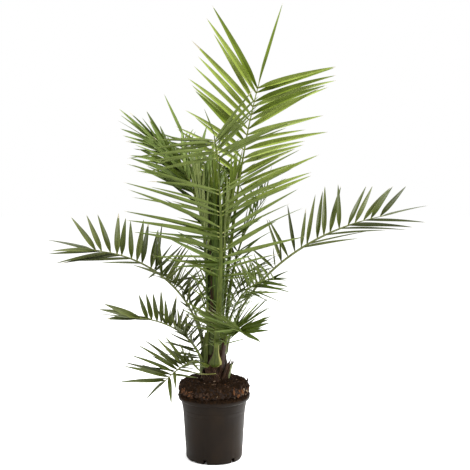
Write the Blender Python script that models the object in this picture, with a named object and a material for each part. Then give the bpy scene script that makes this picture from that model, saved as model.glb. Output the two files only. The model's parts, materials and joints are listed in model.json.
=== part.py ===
"""Young Canary Island date palm in a black nursery pot.

Metres, +Z up, origin at the centre of the pot's underside. The camera of the
photo looks along +Y, so +X is the right of the photo.
"""
import math
import random

import bmesh
import bpy
from mathutils import Vector
from mathutils.bvhtree import BVHTree

# Gap left between pieces that touch in the real plant
GAP = 0.0003
POT_SIDES = 48

# Pot profile, radius and height, outside from the foot up and inside from the lip down
POT_OUTSIDE = (
    (0.0790, 0.0000), (0.0825, 0.0015), (0.0845, 0.0060), (0.0852, 0.0160),
    (0.0935, 0.1500), (0.0950, 0.1530), (0.0968, 0.1700), (0.0985, 0.1755),
    (0.1045, 0.1765), (0.1070, 0.1790), (0.1077, 0.1840), (0.1077, 0.1920),
    (0.1068, 0.1970), (0.1045, 0.1998), (0.1025, 0.1998), (0.1005, 0.1985),
)
POT_INSIDE = (
    (0.0992, 0.1950), (0.0955, 0.1740), (0.0935, 0.1705), (0.0918, 0.1500),
    (0.0833, 0.0160), (0.0815, 0.0090), (0.0790, 0.0080),
)

# Six drainage notches in the foot, the first one left of the front
NOTCH_COUNT = 6
NOTCH_FIRST = -107.5
NOTCH_RADIUS = 0.0845
NOTCH_SIZE = (0.010, 0.008, 0.0115)
NOTCH_TOP = 0.0065

# Root ball that stands proud of the rim
SOIL_MOUND = (
    (0.0985, 0.2030), (0.1035, 0.2075), (0.1050, 0.2170), (0.1010, 0.2290),
    (0.0910, 0.2370), (0.0760, 0.2400), (0.0600, 0.2405), (0.0470, 0.2400),
)
SOIL_TOP = 0.2400
SOIL_LUMP = 0.0022

# Trunk: height and radius, from the flat cut on the soil to the growing tip
TRUNK_AXIS = 0.002
TRUNK = (
    (0.2403, 0.0410), (0.2460, 0.0385), (0.2520, 0.0366), (0.2750, 0.0356),
    (0.3000, 0.0345), (0.3200, 0.0320), (0.3400, 0.0290), (0.3600, 0.0252),
    (0.3800, 0.0210), (0.4000, 0.0170), (0.4200, 0.0130), (0.4500, 0.0060),
)
STUB_BEARING = -30
STUB_LEAN = Vector((0.019, -0.005, 0.056))
TRUNK_SIDES = 24
TRUNK_ROUGH = 0.0003

# Fronds. foot: bearing and height on the trunk. azimuth, rise (foot, tip), bend,
# length and turn shape the rib. bare: share without leaflets. ramp: share of the
# row over which spines grow to full leaflets. pairs, leaf, first, tip_leaf, last
# and slim size the leaflets. left and right: angle from the rib and lift out of
# its plane, each at the first pair and at the tip. base: width at the foot.
FRONDS = {
    "frond_tall": dict(
        foot=(60, 0.360), azimuth=53, rise=(79, 63), bend=2.8, length=0.793, turn=3, base=0.014,
        bare=0.32, ramp=0.25, pairs=24, leaf=0.248, first=0.4, tip_leaf=1.14, last=1.05, slim=0.074,
        left=((83, 44), (26, 22)), right=((57, 73), (5, 0))),
    "frond_front": dict(
        foot=(-88, 0.275), azimuth=-64, rise=(85, 68), bend=0.5, length=0.729, turn=-44, base=0.034,
        bare=0.30, ramp=0.36, pairs=24, leaf=0.264, first=0.16, tip_leaf=0.74, last=0.5, slim=0.056,
        left=((86, 32), (-22, 3)), right=((54, 89), (-25, 5))),
    "frond_left_high": dict(
        foot=(158, 0.400), azimuth=165, rise=(89, 25), bend=3.0, length=0.600, turn=5, base=0.010,
        bare=0.38, ramp=0.25, pairs=18, leaf=0.240, first=0.3, tip_leaf=0.7, last=0.7, slim=0.058,
        left=((75, 38), (-35, -8)), right=((62, 32), (15, 20))),
    "frond_back_left": dict(
        foot=(118, 0.340), azimuth=124, rise=(88, 56), bend=2.3, length=0.635, turn=6, base=0.014,
        bare=0.38, ramp=0.25, pairs=18, leaf=0.190, first=0.3, tip_leaf=0.72, last=1.05, slim=0.060,
        left=((60, 40), (10, 10)), right=((60, 35), (10, 10))),
    "frond_back": dict(
        foot=(92, 0.385), azimuth=92, rise=(88, 45), bend=2.0, length=0.520, turn=0, base=0.010,
        bare=0.38, ramp=0.25, pairs=16, leaf=0.190, first=0.3, tip_leaf=0.7, last=0.9, slim=0.064,
        left=((60, 40), (10, 10)), right=((60, 40), (10, 10))),
    "frond_back_right": dict(
        foot=(28, 0.340), azimuth=40, rise=(86, 35), bend=1.8, length=0.480, turn=8, base=0.014,
        bare=0.38, ramp=0.25, pairs=15, leaf=0.180, first=0.3, tip_leaf=0.7, last=0.9, slim=0.066,
        left=((60, 40), (10, 10)), right=((60, 35), (10, 10))),
    "frond_back_low_left": dict(
        foot=(138, 0.292), azimuth=124, rise=(82, 5), bend=1.1, length=0.340, turn=-4, base=0.016,
        bare=0.34, ramp=0.3, pairs=13, leaf=0.120, first=0.3, tip_leaf=0.8, last=0.9, slim=0.085,
        left=((65, 35), (15, 15)), right=((65, 35), (15, 15))),
    "frond_back_low_right": dict(
        foot=(66, 0.290), azimuth=66, rise=(82, 5), bend=1.1, length=0.380, turn=-4, base=0.016,
        bare=0.34, ramp=0.3, pairs=13, leaf=0.130, first=0.3, tip_leaf=0.8, last=0.9, slim=0.085,
        left=((65, 35), (15, 15)), right=((65, 35), (15, 15))),
    "frond_inner_left": dict(
        foot=(205, 0.405), azimuth=200, rise=(89, 80), bend=1.5, length=0.450, turn=0, base=0.009,
        bare=0.42, ramp=0.3, pairs=10, leaf=0.190, first=0.5, tip_leaf=0.7, last=0.9, slim=0.050,
        left=((24, 16), (10, 10)), right=((24, 16), (10, 10))),
    "frond_inner_right": dict(
        foot=(-8, 0.405), azimuth=6, rise=(89, 78), bend=1.5, length=0.430, turn=0, base=0.009,
        bare=0.42, ramp=0.3, pairs=10, leaf=0.190, first=0.5, tip_leaf=0.7, last=0.9, slim=0.050,
        left=((28, 18), (10, 10)), right=((28, 18), (10, 10))),
    "frond_left_arch": dict(
        foot=(186, 0.325), azimuth=189, rise=(89, 4), bend=0.89, length=0.487, turn=-4, base=0.016,
        bare=0.30, ramp=0.28, pairs=17, leaf=0.152, first=0.35, tip_leaf=0.92, last=1.08, slim=0.100,
        left=((30, 30), (20, -21)), right=((88, 56), (53, 50))),
    "frond_right_arch": dict(
        foot=(-4, 0.325), azimuth=-3, rise=(89, 11), bend=0.65, length=0.652, turn=5, base=0.016,
        bare=0.30, ramp=0.3, pairs=19, leaf=0.160, first=0.3, tip_leaf=1.0, last=1.05, slim=0.098,
        left=((88, 38), (54, 50)), right=((32, 22), (15, -24))),
    "frond_left_low": dict(
        foot=(203, 0.285), azimuth=202, rise=(89, 2), bend=0.65, length=0.289, turn=-8, base=0.018,
        bare=0.24, ramp=0.3, pairs=15, leaf=0.108, first=0.65, tip_leaf=0.98, last=1.0, slim=0.115,
        left=((45, 17), (5, -5)), right=((86, 30), (75, 75))),
    "frond_left_foot": dict(
        foot=(227, 0.262), azimuth=238, rise=(60, -31), bend=0.66, length=0.195, turn=-12, base=0.012,
        bare=0.34, ramp=0.3, pairs=11, leaf=0.132, first=0.5, tip_leaf=1.08, last=0.85, slim=0.100,
        left=((80, 32), (-10, 18)), right=((88, 58), (58, 58))),
    "frond_near_right": dict(
        foot=(-52, 0.285), azimuth=-60, rise=(88, -30), bend=1.6, length=0.205, turn=6, base=0.014,
        bare=0.40, ramp=0.2, pairs=13, leaf=0.150, first=0.5, tip_leaf=0.62, last=0.6, slim=0.105,
        left=((80, 34), (35, 36)), right=((87, 74), (17, 31))),
    "frond_right_mid": dict(
        foot=(-33, 0.325), azimuth=-39, rise=(87, 3), bend=1.3, length=0.345, turn=-8, base=0.014,
        bare=0.42, ramp=0.25, pairs=13, leaf=0.135, first=0.4, tip_leaf=0.72, last=0.6, slim=0.090,
        left=((56, 34), (30, 25)), right=((58, 50), (45, 40))),
    "spear": dict(
        foot=(100, 0.4503), azimuth=100, rise=(89, 86), bend=1.5, length=0.400, turn=0, base=0.009,
        bare=0.60, ramp=0.3, pairs=0, leaf=0.160, first=0.7, tip_leaf=0.7, last=1.0, slim=0.060,
        left=((20, 12), (0, 0)), right=((20, 12), (0, 0))),
}

# Rib and leaflet sizes shared by all fronds
RIB_STEPS = 48
FOOT_DEPTH = 0.0095
FOOT_FADE = 0.055
FOOT_TURN = 0.08
RIB_TIP = (0.0026, 0.0024)
LEAF_BASE = 0.0045
LEAF_WIDEST = 0.36
SPINE_SLIM = 0.6
LEAF_THIN = 0.0105
LEAF_DROOP = 0.05
SWELL = 0.0004
WILD = 4.0
PLANES = 8.0

# Changes tried, in turn, where a leaflet would touch another piece:
# angle from the rib, lift and share of the length
DODGES = (
    (0, 0, 1.0), (0, 6, 1.0), (0, -6, 1.0), (4, 10, 1.0), (-4, -10, 1.0), (5, -4, 1.0), (-5, 4, 1.0),
    (0, 16, 0.95), (0, -16, 0.95), (9, 5, 0.9), (-8, -5, 0.9), (0, 24, 0.85), (0, -24, 0.85),
    (6, 12, 0.7), (-6, -12, 0.7), (0, 0, 0.6), (0, 14, 0.5), (0, -14, 0.5), (0, 0, 0.35),
)


def clear_scene():
    for ob in list(bpy.data.objects):
        bpy.data.objects.remove(ob, do_unlink=True)


def material(name, colour, roughness):
    mat = bpy.data.materials.new(name)
    mat.use_nodes = True
    shader = mat.node_tree.nodes["Principled BSDF"]
    shader.inputs["Base Color"].default_value = (*colour, 1)
    shader.inputs["Roughness"].default_value = roughness
    return mat


def add_object(name, verts, faces, colour, roughness=0.6, smooth=None):
    mesh = bpy.data.meshes.new(name)
    mesh.from_pydata([tuple(v) for v in verts], [], faces)
    bm = bmesh.new()
    bm.from_mesh(mesh)
    bmesh.ops.recalc_face_normals(bm, faces=bm.faces)
    if bm.calc_volume(signed=True) < 0:
        bmesh.ops.reverse_faces(bm, faces=bm.faces)
    bm.to_mesh(mesh)
    bm.free()
    if smooth is not None:
        mesh.shade_smooth()
        mesh.set_sharp_from_angle(angle=math.radians(smooth))
    mesh.materials.append(material("m_" + name, colour, roughness))
    ob = bpy.data.objects.new(name, mesh)
    bpy.context.collection.objects.link(ob)
    return ob


def mix(pair, t):
    return pair[0] + (pair[1] - pair[0]) * t


def lookup(table, x):
    for (x0, y0), (x1, y1) in zip(table, table[1:]):
        if x <= x1:
            return y0 + (y1 - y0) * max(x - x0, 0) / (x1 - x0)
    return table[-1][1]


def lathe(profile, sides, shift=None):
    """Closed solid turned about Z. The profile starts and ends on the axis."""
    verts, faces, rings = [], [], []
    for k, (r, z) in enumerate(profile):
        if r == 0:
            rings.append([len(verts)])
            verts.append((0, 0, z))
            continue
        rings.append(list(range(len(verts), len(verts) + sides)))
        for i in range(sides):
            a = 2 * math.pi * i / sides
            rr, zz = (r, z) if shift is None else shift(k, i, r, z)
            verts.append((rr * math.cos(a), rr * math.sin(a), zz))
    for low, high in zip(rings, rings[1:]):
        for i in range(sides):
            j = (i + 1) % sides
            if len(low) == 1:
                faces.append((low[0], high[i], high[j]))
            elif len(high) == 1:
                faces.append((low[i], low[j], high[0]))
            else:
                faces.append((low[i], low[j], high[j], high[i]))
    return verts, faces


def make_pot():
    profile = [(0, 0)] + list(POT_OUTSIDE) + list(POT_INSIDE) + [(0, POT_INSIDE[-1][1])]
    verts, faces = lathe(profile, POT_SIDES)
    pot = add_object("pot", verts, faces, (0.020, 0.018, 0.016), 0.45, smooth=35)
    for k in range(NOTCH_COUNT):
        a = math.radians(NOTCH_FIRST + 360 * k / NOTCH_COUNT)
        bpy.ops.mesh.primitive_cube_add(size=1)
        cutter = bpy.context.object
        cutter.name = "notch_cutter"
        cutter.dimensions = NOTCH_SIZE
        cutter.location = (
            NOTCH_RADIUS * math.cos(a), NOTCH_RADIUS * math.sin(a), NOTCH_TOP - NOTCH_SIZE[2] / 2)
        cutter.rotation_euler = (0, 0, a)
        cutter.hide_render = True
        cutter.display_type = "WIRE"
        cut = pot.modifiers.new("notch", "BOOLEAN")
        cut.operation = "DIFFERENCE"
        cut.solver = "EXACT"
        cut.object = cutter
        bpy.context.view_layer.objects.active = pot
        bpy.ops.object.modifier_apply(modifier=cut.name)
        bpy.data.objects.remove(cutter, do_unlink=True)
    return pot


def make_soil():
    rng = random.Random(11)
    wall = [(r - GAP, z) for r, z in reversed(POT_INSIDE)]
    wall = [(r, z + GAP if k == 0 else z) for k, (r, z) in enumerate(wall)]
    profile = [(0, POT_INSIDE[-1][1] + GAP)] + wall + list(SOIL_MOUND) + [(0, SOIL_TOP)]
    first = len(wall) + 1

    def lumps(k, i, r, z):
        # the seat of the trunk and the wall stay true
        if k < first or r < 0.055:
            return r, z
        return r - rng.random() * SOIL_LUMP, z - rng.random() * SOIL_LUMP

    verts, faces = lathe(profile, POT_SIDES, lumps)
    return add_object("soil", verts, faces, (0.020, 0.011, 0.007), 0.95)


def make_trunk():
    rng = random.Random(5)
    profile = [(0, TRUNK[0][0])] + [(r, z) for z, r in TRUNK] + [(0, TRUNK[-1][0])]

    def rough(k, i, r, z):
        # grooves only sink in, so the leaf bases keep their gap
        return r - (rng.random() * TRUNK_ROUGH if 1 < k < len(TRUNK) else 0), z

    verts, faces = lathe(profile, TRUNK_SIDES, rough)
    verts = [(x + TRUNK_AXIS, y, z) for x, y, z in verts]
    return add_object("trunk", verts, faces, (0.055, 0.030, 0.018), 0.9)


def make_stub():
    """Pale stub of a cut leaf base on the right, torn at its end."""
    sizes = ((0.0, 0.0150, 0.0052), (0.35, 0.0145, 0.0048), (0.75, 0.0130, 0.0038))
    a = math.radians(STUB_BEARING)
    out = Vector((math.cos(a), math.sin(a), 0))
    side = Vector((-math.sin(a), math.cos(a), 0))
    foot = out * (TRUNK[0][1] + GAP + sizes[0][2] / 2) + Vector((TRUNK_AXIS, 0, SOIL_TOP + GAP))
    verts, faces = [], []
    for share, wide, thick in sizes:
        centre = foot + STUB_LEAN * share
        for dx, dy in ((-1, -1), (1, -1), (1, 1), (-1, 1)):
            verts.append(centre + out * (dx * thick / 2) + side * (dy * wide / 2))
    for k in range(len(sizes) - 1):
        for i in range(4):
            j = (i + 1) % 4
            faces.append((4 * k + i, 4 * k + j, 4 * k + 4 + j, 4 * k + 4 + i))
    faces.append((0, 3, 2, 1))
    top = foot + STUB_LEAN
    near, far = len(verts), len(verts) + 1
    verts.append(top + side * -0.0040)
    verts.append(top + side * 0.0035 + Vector((0, 0, -0.009)))
    a, b, c, d = 8, 9, 10, 11
    faces += [(a, b, near), (b, c, near), (c, far, near), (c, d, far), (d, a, far), (a, near, far)]
    return add_object("cut_stub", verts, faces, (0.30, 0.30, 0.11), 0.7)


def heading(azimuth, rise):
    a, r = math.radians(azimuth), math.radians(rise)
    return Vector((math.cos(r) * math.cos(a), math.cos(r) * math.sin(a), math.sin(r)))


def frond_foot(f):
    bearing, height = f["foot"]
    if height > TRUNK[-1][0]:
        return Vector((TRUNK_AXIS, 0, height + GAP))
    out = lookup(TRUNK, height) + GAP + FOOT_DEPTH / 2 * math.sin(math.radians(f["rise"][0]))
    a = math.radians(bearing)
    return Vector((TRUNK_AXIS + out * math.cos(a), out * math.sin(a), height))


def rib_of(f):
    """Points along the rib with its frame: along, side and up (the leaf's upper face)."""
    at = frond_foot(f)
    points, frames = [at.copy()], []
    for i in range(RIB_STEPS):
        s = (i + 0.5) / RIB_STEPS
        azimuth = f["azimuth"] + f["turn"] * s
        along = heading(azimuth, mix(f["rise"], s ** f["bend"]))
        at = at + along * f["length"] / RIB_STEPS
        points.append(at.copy())
        # the foot clasps the trunk, the petiole turns to its own bearing above it
        settle = min(1, s * f["length"] / FOOT_TURN)
        bearing = f["foot"][0]
        a = math.radians(bearing + (azimuth - bearing) * settle)
        side = Vector((-math.sin(a), math.cos(a), 0))
        side = (side - along * side.dot(along)).normalized()
        frames.append((along, side, along.cross(side)))
    return points, frames


def rib_at(rib, s):
    points, frames = rib
    x = min(max(s, 0), 1) * RIB_STEPS
    i = min(int(x), RIB_STEPS - 1)
    j = max(0, min(RIB_STEPS - 1, i if x - i > 0.5 else i - 1))
    k = min(j + 1, RIB_STEPS - 1)
    t = min(max(x - j - 0.5, 0), 1)
    frame = [(a * (1 - t) + b * t).normalized() for a, b in zip(frames[j], frames[k])]
    return points[i].lerp(points[i + 1], x - i), frame


def rib_size(f, s):
    """Width and depth of the rib: clasping foot, petiole, slim tip."""
    stout = 0.0048 + 0.0045 * f["length"] / 0.8
    fade = math.exp(-s * f["length"] / FOOT_FADE)
    wide = mix((stout, RIB_TIP[0]), s) + max(f["base"] - stout, 0) * fade
    deep = mix((stout * 0.8, RIB_TIP[1]), s)
    return wide, deep + (FOOT_DEPTH - deep) * fade


def leaflets_of(f, rng):
    """Sizes and angles of each leaflet pair, from the spines at the foot to the tip."""
    rows = []
    for k in range(f["pairs"]):
        t = k / (f["pairs"] - 1)
        young = min(1, t / f["ramp"])
        grow = mix((f["first"], 1.0), young) * mix((1.0, f["tip_leaf"]), max(0, (t - 0.4) / 0.6))
        slim = f["slim"] * mix((SPINE_SLIM, 1.0), young)
        s = mix((f["bare"], 0.985), t) + rng.uniform(-0.2, 0.2) * (1 - f["bare"]) / f["pairs"]
        for sign, (angle, lift) in ((1, f["left"]), (-1, f["right"])):
            alpha = mix(angle, t) + rng.uniform(-1, 1) * WILD
            beta = mix(lift, t) + rng.uniform(-1, 1) * WILD * 1.8 + (PLANES if k % 2 else -PLANES)
            size = f["leaf"] * grow * (1 + 0.07 * rng.uniform(-1, 1))
            rows.append((k, s, sign, alpha, beta, size, size * slim))
    return rows


def leaflet_shape(frame, sign, alpha, beta):
    """Direction, width direction and normal of a leaflet."""
    along, side, up = frame
    a, b = math.radians(alpha), math.radians(beta)
    out = side * (sign * math.cos(b)) + up * math.sin(b)
    d = (along * math.cos(a) + out * math.sin(a)).normalized()
    w = (along - d * along.dot(d)).normalized()
    n = w.cross(d) if sign > 0 else d.cross(w)
    return d, w, n


def blade(root, d, w, n, size, wide, grow=0.0):
    """Widest section and tip of a leaflet."""
    half = wide / 2 + grow
    thick = max(size * LEAF_THIN, 0.0009) / 2 + grow
    middle = root + d * size * LEAF_WIDEST + Vector((0, 0, -LEAF_DROOP * 0.2 * size))
    tip = root + d * size + Vector((0, 0, -LEAF_DROOP * size))
    section = [middle - w * half + n * thick, middle - w * half - n * thick]
    section += [middle + w * half - n * thick, middle + w * half + n * thick]
    return section, tip + (tip - middle).normalized() * grow


def feeler(root, d, w, n, size, wide, deep):
    """Slightly swollen leaflet that starts clear of its own rib, whose depth it has there."""
    section, tip = blade(root, d, w, n, size, wide, SWELL)
    x, y = w * (LEAF_BASE / 2 + SWELL), n * (deep / 2 + SWELL)
    start = root + d * 0.003
    verts = [start - x + y, start - x - y, start + x - y, start + x + y] + section + [tip]
    faces = [(0, 1, 2, 3)]
    for a in range(4):
        b = (a + 1) % 4
        faces += [(a, b, 4 + b), (a, 4 + b, 4 + a), (4 + a, 4 + b, 8)]
    return verts, faces


def rib_rings(f, rib, shares, swell=0.0):
    rings = []
    for s in shares:
        at, (along, side, up) = rib_at(rib, s)
        wide, deep = rib_size(f, s)
        x, y = side * (wide / 2 + swell), up * (deep / 2 + swell)
        rings.append([at + x + y, at - x + y, at - x - y, at + x - y])
    return rings


def rib_tree(f, rib, swell):
    shares = [i / 40 for i in range(41)]
    rings = rib_rings(f, rib, shares, swell)
    verts = [v for ring in rings for v in ring]
    faces = [(0, 1, 2, 3)]
    for k in range(len(rings) - 1):
        for i in range(4):
            j = (i + 1) % 4
            faces.append((4 * k + i, 4 * k + j, 4 * k + 4 + j, 4 * k + 4 + i))
    return BVHTree.FromPolygons(verts, faces)


def last_leaflet(f, rib):
    root, (along, side, up) = rib_at(rib, 1.0)
    size = f["leaf"] * f["tip_leaf"] * f["last"]
    return root, along, side, up, size, size * f["slim"] * 0.8


def tip_tree(f, rib):
    verts, faces = feeler(*last_leaflet(f, rib), RIB_TIP[1])
    return BVHTree.FromPolygons(verts, faces)


def tree_of(ob):
    return BVHTree.FromPolygons([v.co for v in ob.data.vertices], [tuple(p.vertices) for p in ob.data.polygons])


def make_frond(name, f, rib, solid_trees, rib_trees, leaf_trees):
    """One closed comb: a four-sided rib with a blade grown out of its side for each leaflet."""
    rng = random.Random(name)
    ends = 0.5 * LEAF_BASE / f["length"]
    kept, own = {}, []
    skipped = 0
    for k, s, sign, alpha, beta, size, wide in leaflets_of(f, rng):
        root, frame = rib_at(rib, s)
        root = root + frame[1] * sign * rib_size(f, s)[0] / 2
        for da, db, share in DODGES:
            d, w, n = leaflet_shape(frame, sign, alpha + da, beta + db)
            verts, faces = feeler(root, d, w, n, size * share, wide, rib_size(f, s)[1])
            tree = BVHTree.FromPolygons(verts, faces)
            others = solid_trees + [t for key, t in rib_trees.items() if key != name] + leaf_trees + own
            if not any(tree.overlap(other) for other in others):
                kept.setdefault(k, {"s": s})[sign] = (root, d, w, n, size * share, wide)
                own.append(tree)
                break
        else:
            skipped += 1
    shares, joints = [], {}
    bare_end = min([p["s"] for p in kept.values()] + [1 - 2 * ends])
    steps = max(4, round(bare_end * f["length"] / 0.035))
    shares += [bare_end * i / steps for i in range(steps)]
    for k in sorted(kept):
        joints[len(shares)] = kept[k]
        shares += [kept[k]["s"] - ends, kept[k]["s"] + ends]
    shares.append(1.0)
    shares = [max(0.0, s) for s in shares]
    rings = rib_rings(f, rib, shares)
    verts = [v for ring in rings for v in ring]
    faces = [(0, 1, 2, 3)]
    for k in range(len(rings) - 1):
        for i in range(4):
            j = (i + 1) % 4
            sign = {3: 1, 1: -1}.get(i)
            if sign is None or sign not in joints.get(k, {}):
                faces.append((4 * k + i, 4 * k + j, 4 * k + 4 + j, 4 * k + 4 + i))
                continue
            section, tip = blade(*joints[k][sign])
            upper, lower = (0, 3) if sign > 0 else (1, 2)
            base = [4 * k + upper, 4 * k + lower, 4 * k + 4 + lower, 4 * k + 4 + upper]
            first = len(verts)
            verts += section + [tip]
            for a in range(4):
                b = (a + 1) % 4
                faces.append((base[a], base[b], first + b, first + a))
                faces.append((first + a, first + b, first + 4))
    section, tip = blade(*last_leaflet(f, rib))
    section = [section[3], section[0], section[1], section[2]]
    base = [4 * (len(rings) - 1) + i for i in range(4)]
    first = len(verts)
    verts += section + [tip]
    for a in range(4):
        b = (a + 1) % 4
        faces.append((base[a], base[b], first + b, first + a))
        faces.append((first + a, first + b, first + 4))
    leaf_trees += own
    bright = 1.6 if name == "frond_tall" else 1.0
    colour = (0.075 * bright, 0.130 * bright, 0.025 * bright)
    print(name, "leaflets", sum(len(p) - 1 for p in kept.values()), "left out", skipped)
    return add_object(name, verts, faces, colour, 0.5)


def main():
    clear_scene()
    solids = [make_pot(), make_soil(), make_trunk(), make_stub()]
    solid_trees = [tree_of(ob) for ob in solids]
    ribs = {name: rib_of(f) for name, f in FRONDS.items()}
    rib_trees = {name: rib_tree(f, ribs[name], SWELL) for name, f in FRONDS.items()}
    tip_trees = {name: tip_tree(f, ribs[name]) for name, f in FRONDS.items()}
    names = list(FRONDS)
    for i, a in enumerate(names):
        for b in names[i + 1:]:
            if rib_trees[a].overlap(rib_trees[b]):
                print("ribs touch:", a, b)
            if tip_trees[a].overlap(tip_trees[b]):
                print("tips touch:", a, b)
        for b in names:
            if a != b and tip_trees[a].overlap(rib_trees[b]):
                print("tip touches rib:", a, b)
        bare_rib = rib_tree(FRONDS[a], ribs[a], 0.0)
        for ob, tree in zip(solids, solid_trees):
            if bare_rib.overlap(tree):
                print("rib touches:", a, ob.name)
    leaf_trees = list(tip_trees.values())
    for name, f in FRONDS.items():
        make_frond(name, f, ribs[name], solid_trees, rib_trees, leaf_trees)


main()
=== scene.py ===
# %% [markdown]
# A young Canary Island date palm stands in a black nursery pot. The lesson dresses
# a plain solid model of it: every solid keeps its place, and a finer piece takes
# over its looks. All lengths are metres, with the origin under the pot's middle.

import json
import random
from functools import partial
from math import atan2, copysign, cos, exp, hypot, pi, radians, sin, sqrt, tan

import bmesh
import bpy
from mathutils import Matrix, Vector, noise
from mathutils.kdtree import KDTree


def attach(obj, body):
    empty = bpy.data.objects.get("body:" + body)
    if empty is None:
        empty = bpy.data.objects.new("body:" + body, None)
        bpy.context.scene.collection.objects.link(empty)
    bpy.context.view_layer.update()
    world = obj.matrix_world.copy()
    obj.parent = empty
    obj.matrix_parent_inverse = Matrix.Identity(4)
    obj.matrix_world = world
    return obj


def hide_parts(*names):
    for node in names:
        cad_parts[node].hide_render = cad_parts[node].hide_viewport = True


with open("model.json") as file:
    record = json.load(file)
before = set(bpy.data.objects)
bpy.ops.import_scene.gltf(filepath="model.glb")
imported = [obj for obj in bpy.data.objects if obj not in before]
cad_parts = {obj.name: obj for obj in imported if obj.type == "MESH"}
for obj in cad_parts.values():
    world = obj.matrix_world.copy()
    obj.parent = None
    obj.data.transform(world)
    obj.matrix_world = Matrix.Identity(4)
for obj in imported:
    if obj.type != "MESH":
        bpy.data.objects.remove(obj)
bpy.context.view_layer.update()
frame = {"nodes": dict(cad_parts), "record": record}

# %% [markdown]
# The photo was taken with a longish lens from a little above the pot. Its place
# was worked out from the pot's rim, which shows as a narrow ellipse: the lens sits
# 1.05 m high and 3.1 m off, tipped 6.9 degrees down.

# %% Camera
CAMERA_PLACE = (0.0627, -3.1, 1.05)
CAMERA_DIP = 6.9
CAMERA_LENS = 81.04

camera = bpy.data.objects.new("camera", bpy.data.cameras.new("camera"))
camera.data.lens = CAMERA_LENS
camera.data.sensor_width = 36
camera.location = CAMERA_PLACE
camera.rotation_euler = (radians(90 - CAMERA_DIP), 0, 0)
bpy.context.collection.objects.link(camera)
bpy.context.scene.camera = camera
bpy.context.scene.view_settings.view_transform = "Standard"


# %% [markdown]
# Colours are given as hex codes and turned to linear light once. The other
# helpers blend two numbers, ease a step, read a short table, and place points.

# %% Small helpers
def colour(code):
    """Linear colour of an sRGB hex code such as '7fa23c'."""
    parts = [int(code[i:i + 2], 16) / 255 for i in (0, 2, 4)]
    return (*[c / 12.92 if c <= 0.04045 else ((c + 0.055) / 1.055) ** 2.4 for c in parts], 1.0)


def mix(pair, t):
    return pair[0] + (pair[1] - pair[0]) * t


def ease(t):
    t = min(max(t, 0.0), 1.0)
    return t * t * (3 - 2 * t)


def lookup(table, x):
    for (x0, y0), (x1, y1) in zip(table, table[1:]):
        if x <= x1:
            return y0 + (y1 - y0) * max(x - x0, 0) / (x1 - x0)
    return table[-1][1]


def ripple(x, y, z):
    """Smooth noise between about -1 and 1."""
    return noise.noise(Vector((x, y, z)))


def polar(r, a, z, axis=0.0):
    """The point at radius r and bearing a (radians) round an upright axis."""
    return Vector((axis + r * cos(a), r * sin(a), z))


def grid(rows, columns, point):
    """Rows of points, where point takes the shares of the way up and across."""
    return [[point(j / rows, i / columns) for i in range(columns + 1)] for j in range(rows + 1)]


# %% [markdown]
# Catalogue photos of plants are lit by large soft boxes in a white room, so that
# no side is black. A pale floor and an even white surround give the bright ground,
# and three area lamps shape the leaves: soft boxes at both sides, the right one
# stronger, and one overhead that draws the gloss on the leaflets. The lamps are
# strong beside the surround, so that folds show a light and a dark side. A narrow
# spot brightens the floor behind the pot, which draws a pale line on its right edge.

# %% Floor, surround and lamps
FLOOR_SIZE = 14.0
SURROUND_LIGHT = 1.0
SPOT_BLEND = 0.4
LAMPS = {
    "right_box": dict(place=(2.6, -1.6, 2.0), aim=(0, 0, 0.7), size=1.3, power=118),
    "left_box": dict(place=(-2.6, -1.6, 2.1), aim=(0, 0, 0.7), size=1.3, power=50),
    "pot_edge": dict(place=(1.6, 1.2, 1.2), aim=(0.34, 0.24, 0), size=0.3, power=950, cone=16),
    "top_box": dict(place=(-0.3, -0.4, 3.6), aim=(0, 0, 0.7), size=1.6, power=150),
}


def add_lamp(name, place, aim, size, power, cone=None):
    light = bpy.data.lights.new(name, "SPOT" if cone else "AREA")
    if cone:
        light.spot_size, light.spot_blend = radians(cone), SPOT_BLEND
        light.shadow_soft_size = size / 2
    else:
        light.size = size
    light.energy = power
    ob = bpy.data.objects.new(name, light)
    ob.location = place
    ob.rotation_euler = (Vector(aim) - Vector(place)).to_track_quat("-Z", "Y").to_euler()
    bpy.context.collection.objects.link(ob)


for lamp_name, lamp in LAMPS.items():
    add_lamp(lamp_name, **lamp)

world = bpy.data.worlds.new("surround")
bpy.context.scene.world = world
world.use_nodes = True
sky = world.node_tree.nodes["Background"]
sky.inputs["Color"].default_value = (1, 1, 1, 1)
sky.inputs["Strength"].default_value = SURROUND_LIGHT
print("lamps:", len(LAMPS))


# %% [markdown]
# Every finish is one Principled shader. One helper adds a node with its settings
# and its links, and one starts a material with its plain values. A number that is
# the same all over a surface sits on the shader's own socket. Patterns read the
# piece's own coordinates, which are metres here, so a scale of 1/size gives marks
# of that size.

# %% Material helpers
def add_node(mat, kind, inputs=None, links=None, **settings):
    """Adds a node, sets its settings and inputs, and links (node, output) into its sockets."""
    node = mat.node_tree.nodes.new(kind)
    for key, value in settings.items():
        setattr(node, key, value)
    for key, value in (inputs or {}).items():
        node.inputs[key].default_value = value
    for key, (source, output) in (links or {}).items():
        mat.node_tree.links.new(source.outputs[output], node.inputs[key])
    return node


def new_material(name, code, roughness, sockets=None):
    mat = bpy.data.materials.new(name)
    mat.use_nodes = True
    shader = mat.node_tree.nodes["Principled BSDF"]
    shader.inputs["Base Color"].default_value = colour(code)
    shader.inputs["Roughness"].default_value = roughness
    for key, value in (sockets or {}).items():
        shader.inputs[key].default_value = value
    return mat


def plant_matter(name, code, roughness):
    """Plain plant matter in one tone, matt or satin by its roughness."""
    return new_material(name, code, roughness, {"IOR": 1.45})


def plug(mat, socket, node, output):
    shader = mat.node_tree.nodes["Principled BSDF"]
    mat.node_tree.links.new(node.outputs[output], shader.inputs[socket])


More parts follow.
